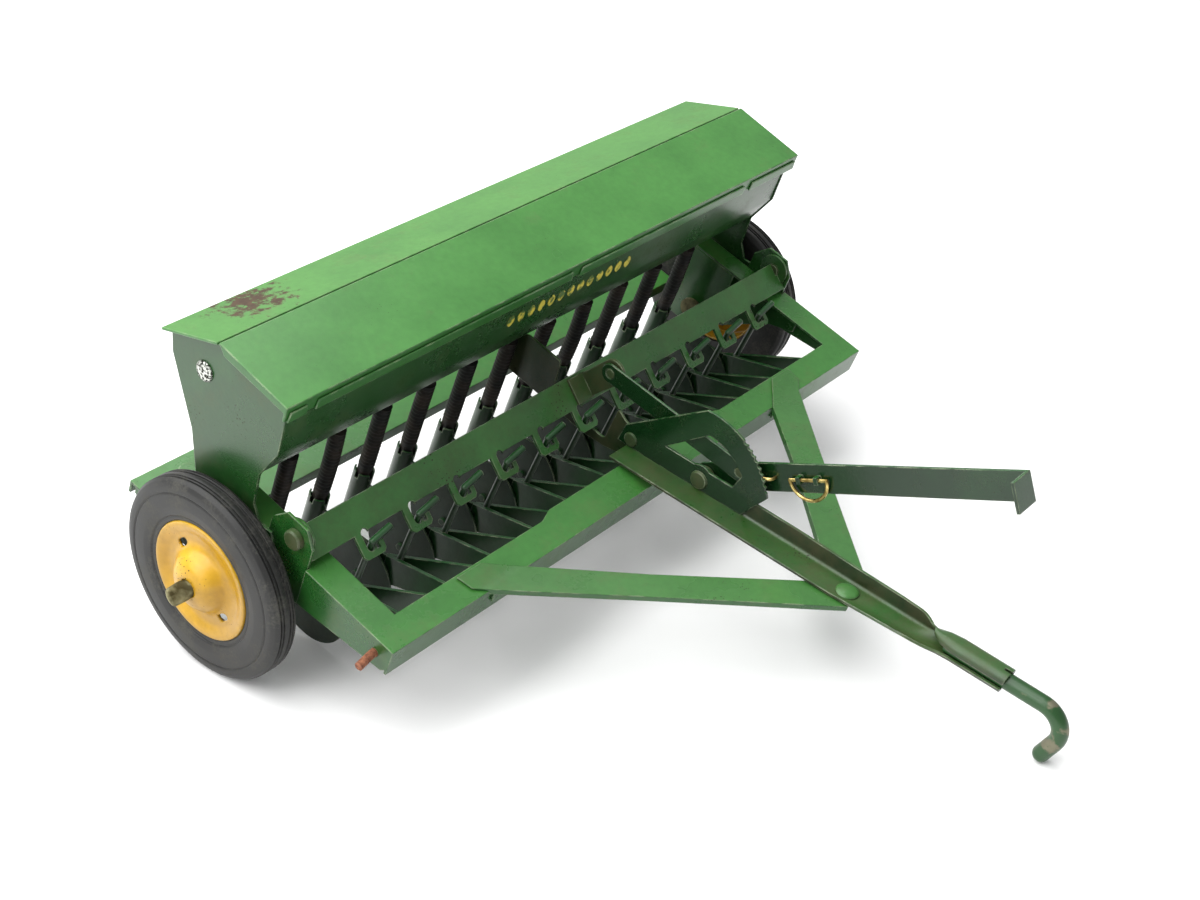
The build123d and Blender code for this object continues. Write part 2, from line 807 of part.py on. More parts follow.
def opener(x):
    with BuildPart() as body:
        with BuildSketch(deck(-30, 0, x)):
            for sign in (-1, 1):
                Polygon(
                    (sign * arm_spread, arm_pivot[0] - 3.4),
                    (sign * (arm_spread + sheet), arm_pivot[0] - 3.4),
                    (sign * sheet, arm_join[0] + 2),
                    (0, arm_join[0] + 2),
                    (0, arm_join[0]),
                    align=None,
                )
            with Locations((0, (arm_join[0] + boot_u) / 2)):
                Rectangle(sheet, boot_u - arm_join[0] - 2)
        extrude(amount=60)
        with BuildSketch(side(x - 12)):
            with Locations(arm_pivot):
                Circle(3.0)
            Polygon(
                (arm_pivot[0], arm_pivot[1] + 3),
                (arm_pivot[0] - 1.5, arm_pivot[1] - 2.6),
                (arm_join[0] - 2, arm_join[1] - 2.6),
                (disc_centre[0] - 3, disc_centre[1] - 3),
                (disc_centre[0] + 3, disc_centre[1] - 3.5),
                (boot_u, -13.0),
                (boot_u, -4.0),
                (arm_join[0] + 3, arm_join[1] + 4.5),
                align=None,
            )
        extrude(amount=24, mode=Mode.INTERSECT)
        with BuildSketch(side(x - 12, *arm_pivot)):
            Circle(arm_rod_r + running)
        extrude(amount=24, mode=Mode.SUBTRACT)
        with BuildSketch(deck(boot_bottom, boot_u, x)):
            Circle(boot_r)
        extrude(amount=boot_top - boot_bottom)
        with BuildSketch(deck(boot_bottom + 3, boot_u, x)):
            Circle(boot_r - 0.5)
        extrude(amount=boot_top - boot_bottom, mode=Mode.SUBTRACT)
        with BuildSketch(deck(boot_top - 2, boot_u, x)):
            Rectangle(1.2, 3 * boot_r)
            Rectangle(3 * boot_r, 1.2)
        extrude(amount=3, mode=Mode.SUBTRACT)
        with BuildLine(side(x)) as leg_path:
            Line((finger[0] + 1.5, arm_join[1] + 2.5), finger)
        with BuildSketch(Plane(origin=leg_path.line @ 0, z_dir=leg_path.line % 0)):
            Circle(finger_r - 0.1)
        sweep()
        with Locations(world(x, *finger)):
            Sphere(finger_r)
        with BuildSketch(Plane(origin=world(x, *finger), z_dir=(cos(radians(14)), 0, sin(radians(14))))):
            Circle(finger_r)
        extrude(amount=finger_length)
        with BuildSketch(side(x + disc_side - disc_sheet - 0.9, *disc_centre)):
            Circle(disc_pin_r)
        extrude(amount=0.9 + disc_sheet - disc_side)
    return body


def disc_blade(x):
    with BuildPart() as blade:
        with BuildSketch(side(x + disc_side - disc_sheet, *disc_centre)):
            Circle(disc_r)
            Circle(disc_pin_r + running, mode=Mode.SUBTRACT)
        extrude(amount=disc_sheet)
    return blade


for index in range(opener_count):
    number = f"{index + 1:02d}"
    name_and_save(opener(opener_x(index)), "opener_" + number)
    name_and_save(disc_blade(opener_x(index)), "disc_" + number)

with BuildPart() as seed_tubes:
    with BuildSketch(deck(boot_top - 4, boot_u)):
        with GridLocations(opener_pitch, 1, opener_count, 1):
            Circle(tube_r)
            Circle(tube_r - 0.7, mode=Mode.SUBTRACT)
    extrude(amount=front_wall[-1][1] - boot_top + 4)
name_and_save(seed_tubes, "seed_tubes")

# ---------------------------------------------------------------- wheels
slot_circle = 11.4
rib_steps = (3.0, 4.5, 6.0)
spin_axis = Axis(origin=world(0, 0, 0), direction=(1, 0, 0))


def wheel_plane(sign):
    return Plane(origin=world(0, 0, 0), x_dir=(sign, 0, 0), z_dir=(0, -sign, 0))


wheel_points = [
    (tyre_inner + 0.6, axle_r + running),
    (hub_face, axle_r + running),
    (hub_face, axle_r + 1.2),
    (hub_face - 1.2, 6.0),
    (hub_face - 4.6, 9.2),
    (hub_face - 5.6, 13.5),
    (hub_face - 4.2, rim_r - 1.0),
    (hub_face - 4.2, rim_r),
    (tyre_inner + 0.6, rim_r),
    (tyre_inner + 0.6, rim_r - 1.0),
    (hub_face - 5.8, rim_r - 1.0),
    (hub_face - 6.8, 13.0),
    (hub_face - 5.8, 8.4),
    (hub_face - 2.6, 5.4),
    (hub_face - 2.6, axle_r + 1.2),
    (tyre_inner + 0.6, axle_r + 1.2),
]
tyre_points = [
    (tyre_inner, rim_r),
    (tyre_outer - 0.8, rim_r),
    (tyre_outer - 0.6, rim_r + 1.5),
    (tyre_outer, 25.0),
    (tyre_outer - 0.9, wheel_r - 1.0),
    (tyre_outer - 2.2, wheel_r),
    (tyre_inner + 2.2, wheel_r),
    (tyre_inner + 0.9, wheel_r - 1.0),
    (tyre_inner, 25.0),
]


def wheel(sign):
    with BuildPart() as disc:
        with BuildSketch(wheel_plane(sign)):
            Polygon(*wheel_points, align=None)
        revolve(axis=spin_axis)
        with BuildSketch(side(min(sign * hub_face, sign * (hub_face - 12)))):
            with PolarLocations(slot_circle, 2, 33):
                SlotOverall(4.2, 2.4, rotation=60)
        extrude(amount=12, mode=Mode.SUBTRACT)
    return disc


def tyre(sign):
    with BuildPart() as ring:
        with BuildSketch(wheel_plane(sign)):
            Polygon(*tyre_points, align=None)
            with Locations(*[(tyre_inner + step, wheel_r) for step in rib_steps]):
                Rectangle(0.7, 1.0, mode=Mode.SUBTRACT)
        revolve(axis=spin_axis)
    return ring


name_and_save(wheel(-1), "wheel_left")
name_and_save(wheel(1), "wheel_right")
name_and_save(tyre(-1), "tyre_left")
name_and_save(tyre(1), "tyre_right")
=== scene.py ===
"""A pressed-steel grain drill, finished and lit: green enamel, yellow wheels, rubber tyres, rust."""
import random
from math import atan2, cos, pi, radians, sin, tan

import bmesh
import bpy
from mathutils import Matrix, Vector


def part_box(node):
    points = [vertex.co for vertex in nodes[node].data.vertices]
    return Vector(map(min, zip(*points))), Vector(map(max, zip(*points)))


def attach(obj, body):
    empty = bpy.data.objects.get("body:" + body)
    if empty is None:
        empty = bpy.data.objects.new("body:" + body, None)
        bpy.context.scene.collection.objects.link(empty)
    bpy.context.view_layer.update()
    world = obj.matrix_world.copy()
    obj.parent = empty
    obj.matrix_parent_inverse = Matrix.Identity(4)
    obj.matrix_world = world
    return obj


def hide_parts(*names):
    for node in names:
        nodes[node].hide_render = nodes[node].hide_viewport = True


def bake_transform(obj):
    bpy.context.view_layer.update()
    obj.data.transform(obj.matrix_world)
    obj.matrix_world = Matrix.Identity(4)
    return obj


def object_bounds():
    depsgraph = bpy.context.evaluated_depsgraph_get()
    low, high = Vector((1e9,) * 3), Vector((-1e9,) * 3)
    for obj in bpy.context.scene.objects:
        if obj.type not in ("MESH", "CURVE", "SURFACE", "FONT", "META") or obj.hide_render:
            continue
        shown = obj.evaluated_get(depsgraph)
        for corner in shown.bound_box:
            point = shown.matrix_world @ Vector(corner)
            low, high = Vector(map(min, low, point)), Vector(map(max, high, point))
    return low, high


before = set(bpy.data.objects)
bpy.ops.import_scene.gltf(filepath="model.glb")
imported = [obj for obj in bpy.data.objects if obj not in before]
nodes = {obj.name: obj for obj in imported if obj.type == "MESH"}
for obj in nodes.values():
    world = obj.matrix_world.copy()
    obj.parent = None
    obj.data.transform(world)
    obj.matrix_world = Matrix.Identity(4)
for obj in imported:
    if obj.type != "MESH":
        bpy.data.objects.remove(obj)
cad_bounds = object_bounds()

# The room: a pale paper floor under one large soft window overhead and behind, with a small one
# on the left. The paper is matte and nearly white, and runs far past the view so no edge shows.
bench_height = cad_bounds[0][2]


def srgb(code):
    """Linear colour of an sRGB hex code such as '2f6b35'."""
    channels = [int(code[i:i + 2], 16) / 255 for i in (0, 2, 4)]
    return tuple(c / 12.92 if c <= 0.04045 else ((c + 0.055) / 1.055) ** 2.4 for c in channels) + (1.0,)


def add_node(tree, kind, settings=None, **links):
    """Adds one node. A link is a socket or a plain value; a_0 stands for input number 0."""
    node = tree.nodes.new("ShaderNode" + kind)
    for key, value in (settings or {}).items():
        setattr(node, key, value)
    for key, value in links.items():
        socket = node.inputs[int(key[2:]) if key.startswith("a_") else key.replace("_", " ")]
        if isinstance(value, bpy.types.NodeSocket):
            tree.links.new(value, socket)
        else:
            socket.default_value = value
    return node


def new_material(name):
    """An empty node material and its shader."""
    material = bpy.data.materials.new(name)
    material.use_nodes = True
    tree = material.node_tree
    tree.nodes.clear()
    shader = add_node(tree, "BsdfPrincipled")
    add_node(tree, "OutputMaterial", Surface=shader.outputs[0])
    return material, tree, shader


def mesh_piece(name, build, material, smooth_angle=35, face_up=False):
    """A new object whose mesh the build function fills, with smooth faces and sharp folds.
    Face_up turns an open sheet so that its first face looks up."""
    shape = bmesh.new()
    build(shape)
    bmesh.ops.recalc_face_normals(shape, faces=shape.faces)
    shape.faces.ensure_lookup_table()
    if face_up and shape.faces[0].normal.z < 0:
        bmesh.ops.reverse_faces(shape, faces=shape.faces)
    mesh = bpy.data.meshes.new(name)
    shape.to_mesh(mesh)
    shape.free()
    for face in mesh.polygons:
        face.use_smooth = True
    mesh.set_sharp_from_angle(angle=radians(smooth_angle))
    mesh.materials.append(material)
    piece = bpy.data.objects.new(name, mesh)
    bpy.context.scene.collection.objects.link(piece)
    return piece


paper, _, paper_shader = new_material("matte_white_paper")
paper_shader.inputs["Base Color"].default_value = srgb("fbfbfa")
paper_shader.inputs["Roughness"].default_value = 0.9
paper_shader.inputs["Specular IOR Level"].default_value = 0.2


def lay_sweep(shape):
    below_tyres = 0.0002
    bmesh.ops.create_grid(shape, x_segments=8, y_segments=8, size=4.0)
    bmesh.ops.translate(shape, verts=shape.verts, vec=(0, 0, bench_height - below_tyres))


sweep = mesh_piece("paper_sweep", lay_sweep, paper)

world = bpy.data.worlds.new("white_room")
bpy.context.scene.world = world
world.use_nodes = True
world.node_tree.nodes["Background"].inputs["Color"].default_value = srgb("fbfcff")
world.node_tree.nodes["Background"].inputs["Strength"].default_value = 0.5


def softbox(name, place, aim, size, power):
    light = bpy.data.lights.new(name, "AREA")
    light.shape = "RECTANGLE"
    light.size = size[0]
    light.size_y = size[1]
    light.energy = power
    lamp = bpy.data.objects.new(name, light)
    lamp.location = place
    lamp.rotation_euler = (Vector(aim) - Vector(place)).to_track_quat("-Z", "Y").to_euler()
    bpy.context.scene.collection.objects.link(lamp)


middle = (0, 0, 0.03)
softbox("window_above", place=(-0.25, 0.45, 1.0), aim=middle, size=(2.0, 1.5), power=30)
softbox("window_left", place=(-1.0, 0.1, 0.55), aim=middle, size=(0.6, 0.8), power=3.5)
bpy.context.scene.view_settings.view_transform = "Standard"

# The camera stands ahead of the left wheel and well above the hopper, rolled slightly off level.
# Its right, up and back directions are given in the frame's axes.
camera_right = Vector((0.6297, -0.7759, 0.0384))
camera_up = Vector((0.3844, 0.3542, 0.8525))
camera_back = Vector((-0.6751, -0.5221, 0.5213))
camera_place = Vector((-0.3756, -0.2521, 0.3233))
lens = bpy.data.cameras.new("camera")
lens.lens = 56.0
lens.sensor_width = 36.0
lens.clip_start = 0.01
camera = bpy.data.objects.new("camera", lens)
turn = Matrix((camera_right, camera_up, camera_back)).transposed()
camera.matrix_world = Matrix.Translation(camera_place) @ turn.to_4x4()
bpy.context.scene.collection.objects.link(camera)
bpy.context.scene.camera = camera

# The frame, brackets and footboard: thin steel, cut and folded in a press tool, then sprayed with green
# enamel. Folds are softly rounded, and the cut edges are painted pale, partly as lost paint and partly as a
# painted highlight.
mm = 0.001
axle_low, axle_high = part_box("axle_left")
pivot_low, pivot_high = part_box("bar_rivets")
axle_y, axle_z = ((axle_low[i] + axle_high[i]) / 2 for i in (1, 2))
pivot_y, pivot_z = ((pivot_low[i] + pivot_high[i]) / 2 for i in (1, 2))
bar_pivot = (-18.3, 28.1)
rest_tilt = atan2(pivot_z - axle_z, pivot_y - axle_y) - atan2(bar_pivot[1], bar_pivot[0])


def place(x, back, up):
    """A point x mm to the right, back mm behind and up mm above the axle, along the tilted frame."""
    y = axle_y + mm * (back * cos(rest_tilt) - up * sin(rest_tilt))
    z = axle_z + mm * (back * sin(rest_tilt) + up * cos(rest_tilt))
    return Vector((mm * x, y, z))


def sprayed_enamel(name, shaded_side, lit_top, grime, dirt=0.3, chips=0.5, gloss=0.22, edge_wear_and_highlight=0.6, patch=None):
    """Sprayed enamel on steel: faint orange peel, painted light (a paler colour on top faces, a darker one as
    painted shade on side and under faces), chips down to primer, pale edges that are partly worn paint and
    partly a painted highlight, and a film of brown grime. Patch is a (centre, reach) spot of rust."""
    material, tree, shader = new_material(name)
    coords = add_node(tree, "TexCoord").outputs
    surface = add_node(tree, "NewGeometry").outputs
    # Colour drifts over about 25 mm; a finer mottle of 2 mm keeps large faces from looking flat.
    drift = add_node(tree, "TexNoise", Vector=coords["Object"], Scale=40.0, Detail=3.0).outputs["Fac"]
    mottle = add_node(tree, "TexNoise", Vector=coords["Object"], Scale=520.0, Detail=4.0).outputs["Fac"]
    # Painted light: upward faces get the paler second colour as painted top light, and side and under faces
    # the darker first colour as painted shade.
    upward = add_node(tree, "SeparateXYZ", a_0=coords["Normal"]).outputs["Z"]
    painted_top_light = add_node(tree, "MapRange", a_0=upward, a_1=0.0, a_2=0.95, a_3=-0.3, a_4=0.5).outputs[0]
    painted_light_and_drift = add_node(tree, "Math", {"operation": "ADD"}, a_0=painted_top_light, a_1=drift).outputs[0]
    painted_light_and_drift = add_node(tree, "MapRange", a_0=painted_light_and_drift, a_1=0.25, a_2=1.05).outputs[0]
    paint = add_node(tree, "Mix", {"data_type": "RGBA"}, a_0=painted_light_and_drift, a_6=srgb(shaded_side), a_7=srgb(lit_top))
    mottled = add_node(tree, "MapRange", a_0=mottle, a_1=0.3, a_2=0.7, a_3=0.93, a_4=1.07).outputs[0]
    paint = add_node(tree, "HueSaturation", Color=paint.outputs[2], Value=mottled).outputs[0]
    # Grime: brown dust gathered in cloudy areas about 12 mm across, broken up by a 1 mm grain.
    cloud = add_node(tree, "TexNoise", Vector=coords["Object"], Scale=85.0, Detail=6.0, Roughness=0.65)
    grain = add_node(tree, "TexNoise", Vector=coords["Object"], Scale=1100.0, Detail=3.0).outputs["Fac"]
    cloud = cloud.outputs["Fac"]
    cloud = add_node(tree, "Math", {"operation": "MULTIPLY_ADD"}, a_0=grain, a_1=0.3, a_2=cloud)
    film = add_node(tree, "MapRange", a_0=cloud.outputs[0], a_1=0.95 - dirt, a_2=1.15 - 0.5 * dirt).outputs[0]
    film = add_node(tree, "Math", {"operation": "MULTIPLY"}, a_0=film, a_1=0.25 + 0.6 * dirt).outputs[0]
    paint = add_node(tree, "Mix", {"data_type": "RGBA"}, a_0=film, a_6=paint, a_7=srgb(grime)).outputs[2]
    # Edges: where the rounded normal leaves the face normal there is a fold or a cut edge.
    rounded = add_node(tree, "Bevel", {"samples": 4}, Radius=0.0005).outputs[0]
    match = add_node(tree, "VectorMath", {"operation": "DOT_PRODUCT"}, a_0=rounded, a_1=surface["Normal"])
    edge = add_node(tree, "MapRange", a_0=match.outputs["Value"], a_1=0.985, a_2=0.90).outputs[0]
    edge_noise = add_node(tree, "TexNoise", Vector=coords["Object"], Scale=230.0, Detail=5.0).outputs["Fac"]
    edge_noise = add_node(tree, "MapRange", a_0=edge_noise, a_1=0.42, a_2=0.62).outputs[0]
    worn_and_highlit_edge = add_node(tree, "Math", {"operation": "MULTIPLY"}, a_0=edge, a_1=edge_noise).outputs[0]
    worn_and_highlit_edge = add_node(tree, "Math", {"operation": "MULTIPLY"}, a_0=worn_and_highlit_edge, a_1=edge_wear_and_highlight).outputs[0]
    # The pale edge colour is partly paint rubbed through and partly a painted highlight where folds and cut
    # edges catch the light.
    paint = add_node(tree, "Mix", {"data_type": "RGBA"}, a_0=worn_and_highlit_edge, a_6=paint, a_7=srgb("b3bb9c")).outputs[2]
    # Chips: dark specks 0.4 to 1 mm wide in a few neighbourhoods.
    speck = add_node(tree, "TexVoronoi", Vector=coords["Object"], Scale=950.0).outputs["Distance"]
    area = add_node(tree, "TexNoise", Vector=coords["Object"], Scale=60.0, Detail=2.0).outputs["Fac"]
    allowed = add_node(tree, "MapRange", a_0=area, a_1=0.5, a_2=0.75, a_3=0.0, a_4=0.32 * chips).outputs[0]
    chip = add_node(tree, "Math", {"operation": "LESS_THAN"}, a_0=speck, a_1=allowed).outputs[0]
    paint = add_node(tree, "Mix", {"data_type": "RGBA"}, a_0=chip, a_6=paint, a_7=srgb("2b2416")).outputs[2]
    dull = add_node(tree, "Math", {"operation": "MAXIMUM"}, a_0=film, a_1=chip).outputs[0]
    if patch:
        centre, reach = patch
        away = add_node(tree, "VectorMath", {"operation": "DISTANCE"}, a_0=coords["Object"], a_1=centre)
        near = add_node(tree, "MapRange", a_0=away.outputs["Value"], a_1=reach, a_2=0.0, a_3=0.0, a_4=0.36)
        pitted = add_node(tree, "TexNoise", Vector=coords["Object"], Scale=330.0, Detail=8.0, Roughness=0.7)
        bloom = add_node(tree, "Math", {"operation": "ADD"}, a_0=near.outputs[0], a_1=pitted.outputs["Fac"])
        inside = add_node(tree, "Math", {"operation": "GREATER_THAN"}, a_0=near.outputs[0], a_1=0.001)
        rust = add_node(tree, "MapRange", a_0=bloom.outputs[0], a_1=0.66, a_2=0.76).outputs[0]
        rust = add_node(tree, "Math", {"operation": "MULTIPLY"}, a_0=rust, a_1=inside.outputs[0]).outputs[0]
        dark_rust, dry_rust = srgb("24180f"), srgb("5c4630")
        tint = add_node(tree, "Mix", {"data_type": "RGBA"}, a_0=mottle, a_6=dark_rust, a_7=dry_rust)
        tint = tint.outputs[2]
        paint = add_node(tree, "Mix", {"data_type": "RGBA"}, a_0=rust, a_6=paint, a_7=tint).outputs[2]
        dull = add_node(tree, "Math", {"operation": "MAXIMUM"}, a_0=dull, a_1=rust).outputs[0]
    rough = add_node(tree, "MapRange", a_0=dull, a_3=gloss, a_4=0.78).outputs[0]
    rough = add_node(tree, "Math", {"operation": "MULTIPLY_ADD"}, a_0=drift, a_1=0.12, a_2=rough).outputs[0]
    peel = add_node(tree, "TexNoise", Vector=coords["Object"], Scale=900.0, Detail=2.0).outputs["Fac"]
    relief = add_node(tree, "Math", {"operation": "MULTIPLY_ADD"}, a_0=dull, a_1=-1.2, a_2=peel).outputs[0]
    bump = add_node(tree, "Bump", Strength=0.5, Distance=0.00004, Height=relief, Normal=rounded).outputs[0]
    tree.links.new(paint, shader.inputs["Base Color"])
    tree.links.new(rough, shader.inputs["Roughness"])
    tree.links.new(bump, shader.inputs["Normal"])
    shader.inputs["Coat Weight"].default_value = 0.12
    shader.inputs["Coat Roughness"].default_value = 0.2
    return material


def finish_node(name, material, fold=0.0):
    """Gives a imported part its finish. Fold is the radius in mm that its edges are rounded to."""
    part = nodes[name]
    for slot in part.material_slots:
        slot.material = material
    if not fold:
        return
    weld = part.modifiers.new("joined_faces", "WELD")
    weld.merge_threshold = 0.000005
    flat = part.modifiers.new("flat_faces", "DECIMATE")
    flat.decimate_type = "DISSOLVE"
    flat.angle_limit = radians(0.4)
    edge = part.modifiers.new("rounded_folds", "BEVEL")
    edge.width = fold * mm
    edge.segments = 2
    edge.limit_method = "ANGLE"
    edge.angle_limit = radians(32)
    part.modifiers.new("even_shading", "WEIGHTED_NORMAL")


frame_enamel = sprayed_enamel("green_enamel_frame", "1c491b", "3e7b34", "5a5a34", dirt=0.28, chips=0.6)
finish_node("frame", frame_enamel, 0.3)
for label in ("bracket_left", "bracket_right", "footboard"):
    finish_node(label, frame_enamel, 0.2)

# The hopper: trough, end panels and a fixed rear cover, folded from sheet. The cover's left end has rusted
# through its paint, and all upward faces are painted a paler green as painted top light, their sides darker
# as painted shade.
hopper_enamel = sprayed_enamel("green_enamel_hopper", "1b401a", "356b31", "4c4a2c", dirt=0.3, chips=0.8)
for label in ("hopper", "end_panel_left", "end_panel_right"):
    finish_node(label, hopper_enamel, 0.2)
cover_low, cover_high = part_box("rear_cover")
rust_centre = (cover_low[0] + 0.024, cover_high[1] - 0.007, (cover_low[2] + cover_high[2]) / 2)
cover_enamel = sprayed_enamel(
    "green_enamel_rusted_cover", "336a2e", "50893f", "6a6a44",
    dirt=0.25, chips=0.5, gloss=0.3, patch=(rust_centre, 0.019),
)
finish_node("rear_cover", cover_enamel, 0.2)

# The lid: one folded sheet with a down-turned lip in front and narrow flanges at its ends.
# The lip is folded back on itself in four lengths, with a tab slot between each. Its edges are the most
# handled ones and are painted the palest, partly as rubbed paint and partly as a painted highlight.
lid_enamel = sprayed_enamel(
    "green_enamel_lid", "265a22", "437f38", "5a6138", dirt=0.2, chips=0.35, gloss=0.24, edge_wear_and_highlight=0.95
)
finish_node("lid", lid_enamel, 0.25)
lip_runs = ((-111.2, -104.5), (-101.8, -1.6), (1.6, 83.0), (86.0, 111.2))


def solid_outline(shape, outline, corner_at, thickness):
    """Fills an outline and thickens it: corner_at(point, side) gives each corner on both faces."""
    near = [shape.verts.new(corner_at(point, 0)) for point in outline]
    far = [shape.verts.new(corner_at(point, thickness)) for point in outline]
    shape.faces.new(near)
    shape.faces.new(far[::-1])
    for i in range(len(outline)):
        k = (i + 1) % len(outline)
        shape.faces.new((near[k], near[i], far[i], far[k]))


def soften(piece, width, segments=2, angle=32):
    edge = piece.modifiers.new("rounded_edges", "BEVEL")
    edge.width = width * mm
    edge.segments = segments
    edge.limit_method = "ANGLE"
    edge.angle_limit = radians(angle)
    piece.modifiers.new("even_shading", "WEIGHTED_NORMAL")


def fold_lip(shape):
    lip_bottom, lip_top, lip_face, end_cut = 62.2, 65.4, -7.25, 0.6
    for left, right in lip_runs:
        outline = (
            (left, lip_bottom), (right, lip_bottom), (right - end_cut, lip_top), (left + end_cut, lip_top),
        )
        solid_outline(shape, outline, lambda p, depth: place(p[0], lip_face - depth, p[1]), 0.55)


lid_lip = mesh_piece("lid_lip", fold_lip, lid_enamel)
soften(lid_lip, 0.22)
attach(lid_lip, "lid")

# The hopper pins: domed zinc heads peened over at each end of the hopper, now pitted and grey.
zinc, zinc_tree, zinc_shader = new_material("pitted_zinc")
zinc_coords = add_node(zinc_tree, "TexCoord").outputs["Object"]
pits = add_node(zinc_tree, "TexNoise", Vector=zinc_coords, Scale=1500.0, Detail=5.0).outputs["Fac"]
pits = add_node(zinc_tree, "MapRange", a_0=pits, a_1=0.44, a_2=0.56).outputs[0]
zinc_tint = add_node(
    zinc_tree, "Mix", {"data_type": "RGBA"}, a_0=pits, a_6=srgb("3a3d35"), a_7=srgb("c9ccc4")
)
zinc_tree.links.new(zinc_tint.outputs[2], zinc_shader.inputs["Base Color"])
zinc_rough = add_node(zinc_tree, "MapRange", a_0=pits, a_3=0.8, a_4=0.32).outputs[0]
zinc_tree.links.new(zinc_rough, zinc_shader.inputs["Roughness"])
zinc_bump = add_node(zinc_tree, "Bump", Strength=0.8, Distance=0.0001, Height=pits).outputs[0]
zinc_tree.links.new(zinc_bump, zinc_shader.inputs["Normal"])
zinc_shader.inputs["Metallic"].default_value = 0.85


def eased(points, ease, closed=True, steps=3):
    """Rounds the corners of a profile, cutting each by ease or by less on a short side."""
    result = []
    count = len(points)
    for i in range(count):
        here = Vector(points[i])
        if not closed and i in (0, count - 1):
            result.append(tuple(here))
            continue
        before = Vector(points[i - 1]) - here
        after = Vector(points[(i + 1) % count]) - here
        start = here + before * min(ease / before.length, 0.45)
        end = here + after * min(ease / after.length, 0.45)
        for step in range(steps + 1):
            t = step / steps
            result.append(tuple(start * (1 - t) ** 2 + here * 2 * t * (1 - t) + end * t ** 2))
    return result


def turn_profile(shape, profile, back, up, closed=False, segments=48):
    """Revolves a profile of (x, radius) pairs round the cross-machine line at (back, up)."""
    rings = []
    for x, radius in profile:
        if radius < 0.001:
            rings.append([shape.verts.new(place(x, back, up))])
            continue
        ring = []
        for i in range(segments):
            angle = 2 * pi * i / segments
            ring.append(shape.verts.new(place(x, back + radius * cos(angle), up + radius * sin(angle))))
        rings.append(ring)
    pairs = list(zip(rings, rings[1:]))
    if closed:
        pairs.append((rings[-1], rings[0]))
    for one, two in pairs:
        for i in range(segments):
            k = (i + 1) % segments
            if len(one) == 1:
                shape.faces.new((one[0], two[i], two[k]))
            elif len(two) == 1:
                shape.faces.new((one[i], two[0], one[k]))
            else:
                shape.faces.new((one[i], two[i], two[k], one[k]))


def domed_head(x, out, radius, height, shank):
    """Profile of a rivet: shank inwards from x, then a head that domes outwards. Out is 1 or -1."""
    shank_radius = radius * 0.55
    shank_end = x - out * shank
    profile = [(shank_end, 0), (shank_end, shank_radius), (x, shank_radius), (x, radius * 0.97)]
    for step in range(7):
        angle = pi / 2 * step / 6
        profile.append((x + out * height * (0.25 + 0.75 * sin(angle)), radius * cos(angle)))
    return profile


def peen_pins(shape):
    panel_face = 110.0
    for out in (-1, 1):
        head = domed_head(out * panel_face, out, radius=3.0, height=1.1, shank=2.6)
        turn_profile(shape, head, back=22.8, up=54.1)


hopper_pins = mesh_piece("hopper_pins", peen_pins, zinc)
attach(hopper_pins, "chassis")
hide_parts("panel_pins")

# A faded row of plain seed shapes is printed in yellow on the front of the trough. Each is a thin
# film that lies on the enamel, and green shows where it has flaked.
transfer, transfer_tree, transfer_shader = new_material("faded_yellow_transfer")
transfer_coords = add_node(transfer_tree, "TexCoord").outputs["Object"]
flaked = add_node(transfer_tree, "TexNoise", Vector=transfer_coords, Scale=420.0, Detail=5.0).outputs["Fac"]
flaked = add_node(transfer_tree, "MapRange", a_0=flaked, a_1=0.50, a_2=0.60).outputs[0]
transfer_tint = add_node(
    transfer_tree, "Mix", {"data_type": "RGBA"}, a_0=flaked, a_6=srgb("c9b840"), a_7=srgb("4b642c")
)
transfer_tree.links.new(transfer_tint.outputs[2], transfer_shader.inputs["Base Color"])
transfer_shader.inputs["Roughness"].default_value = 0.5


def print_seeds(shape):
    row_up = 54.6
    wall_top, wall_back, wall_lean = 65.0, -5.6, 0.025
    half_wide, half_high, pitch = 1.5, 2.1, 4.4

    def on_wall(across, rise, depth):
        height = row_up + rise
        back = wall_back - (wall_top - height) * wall_lean
        return place(across, back - 0.03 - depth, height)

    for i in range(13):
        across = -23.0 + pitch * i
        seed = []
        for step in range(18):
            angle = 2 * pi * step / 18
            seed.append((across + half_wide * sin(angle) * abs(sin(angle)) ** 0.5, half_high * cos(angle)))
        solid_outline(shape, seed, lambda p, depth: on_wall(p[0], p[1], depth), 0.05)


seed_transfer = mesh_piece("seed_transfer", print_seeds, transfer)
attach(seed_transfer, "chassis")

# The lift bar, crank, link and lever: stampings in the same enamel, with more grime and more
# bare edges, because these are the parts that hands and neighbouring parts rub.
bar_enamel = sprayed_enamel("green_enamel_lift_bar", "1d4a1c", "3f7535", "3d3c20", dirt=0.38, chips=1.0)
grimy_enamel = sprayed_enamel(
    "green_enamel_grimy", "143816", "2d5a26", "4f4527", dirt=0.55, chips=1.1, gloss=0.36
)
finish_node("lift_bar", bar_enamel, 0.16)
finish_node("crank", grimy_enamel, 0.18)
# The link, lever and quadrant get a darker copy of the same enamel: painted shade for their forward faces,
# which sit in shadow.
lever_enamel_painted_shade = sprayed_enamel(
    "green_enamel_lever_painted_shade", "0b290f", "235423", "33321c", dirt=0.25, chips=0.6, gloss=0.18
)
for label in ("link", "lever", "quadrant"):
    finish_node(label, lever_enamel_painted_shade, 0.2)


def rivet_piece(name, build, replaced, body, material=grimy_enamel):
    piece = mesh_piece(name, build, material)
    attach(piece, body)
    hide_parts(replaced)
    return piece


def shoulder_rivets(shape):
    for out in (-1, 1):
        shoulder = [
            (out * 106.6, 0), (out * 106.6, 2.0), (out * 109.3, 2.0), (out * 109.3, 3.0),
            (out * 110.7, 2.9), (out * 111.1, 2.5), (out * 111.2, 0),
        ]
        turn_profile(shape, shoulder, *bar_pivot)


rivet_piece("lift_bar_rivets", shoulder_rivets, "bar_rivets", "chassis")

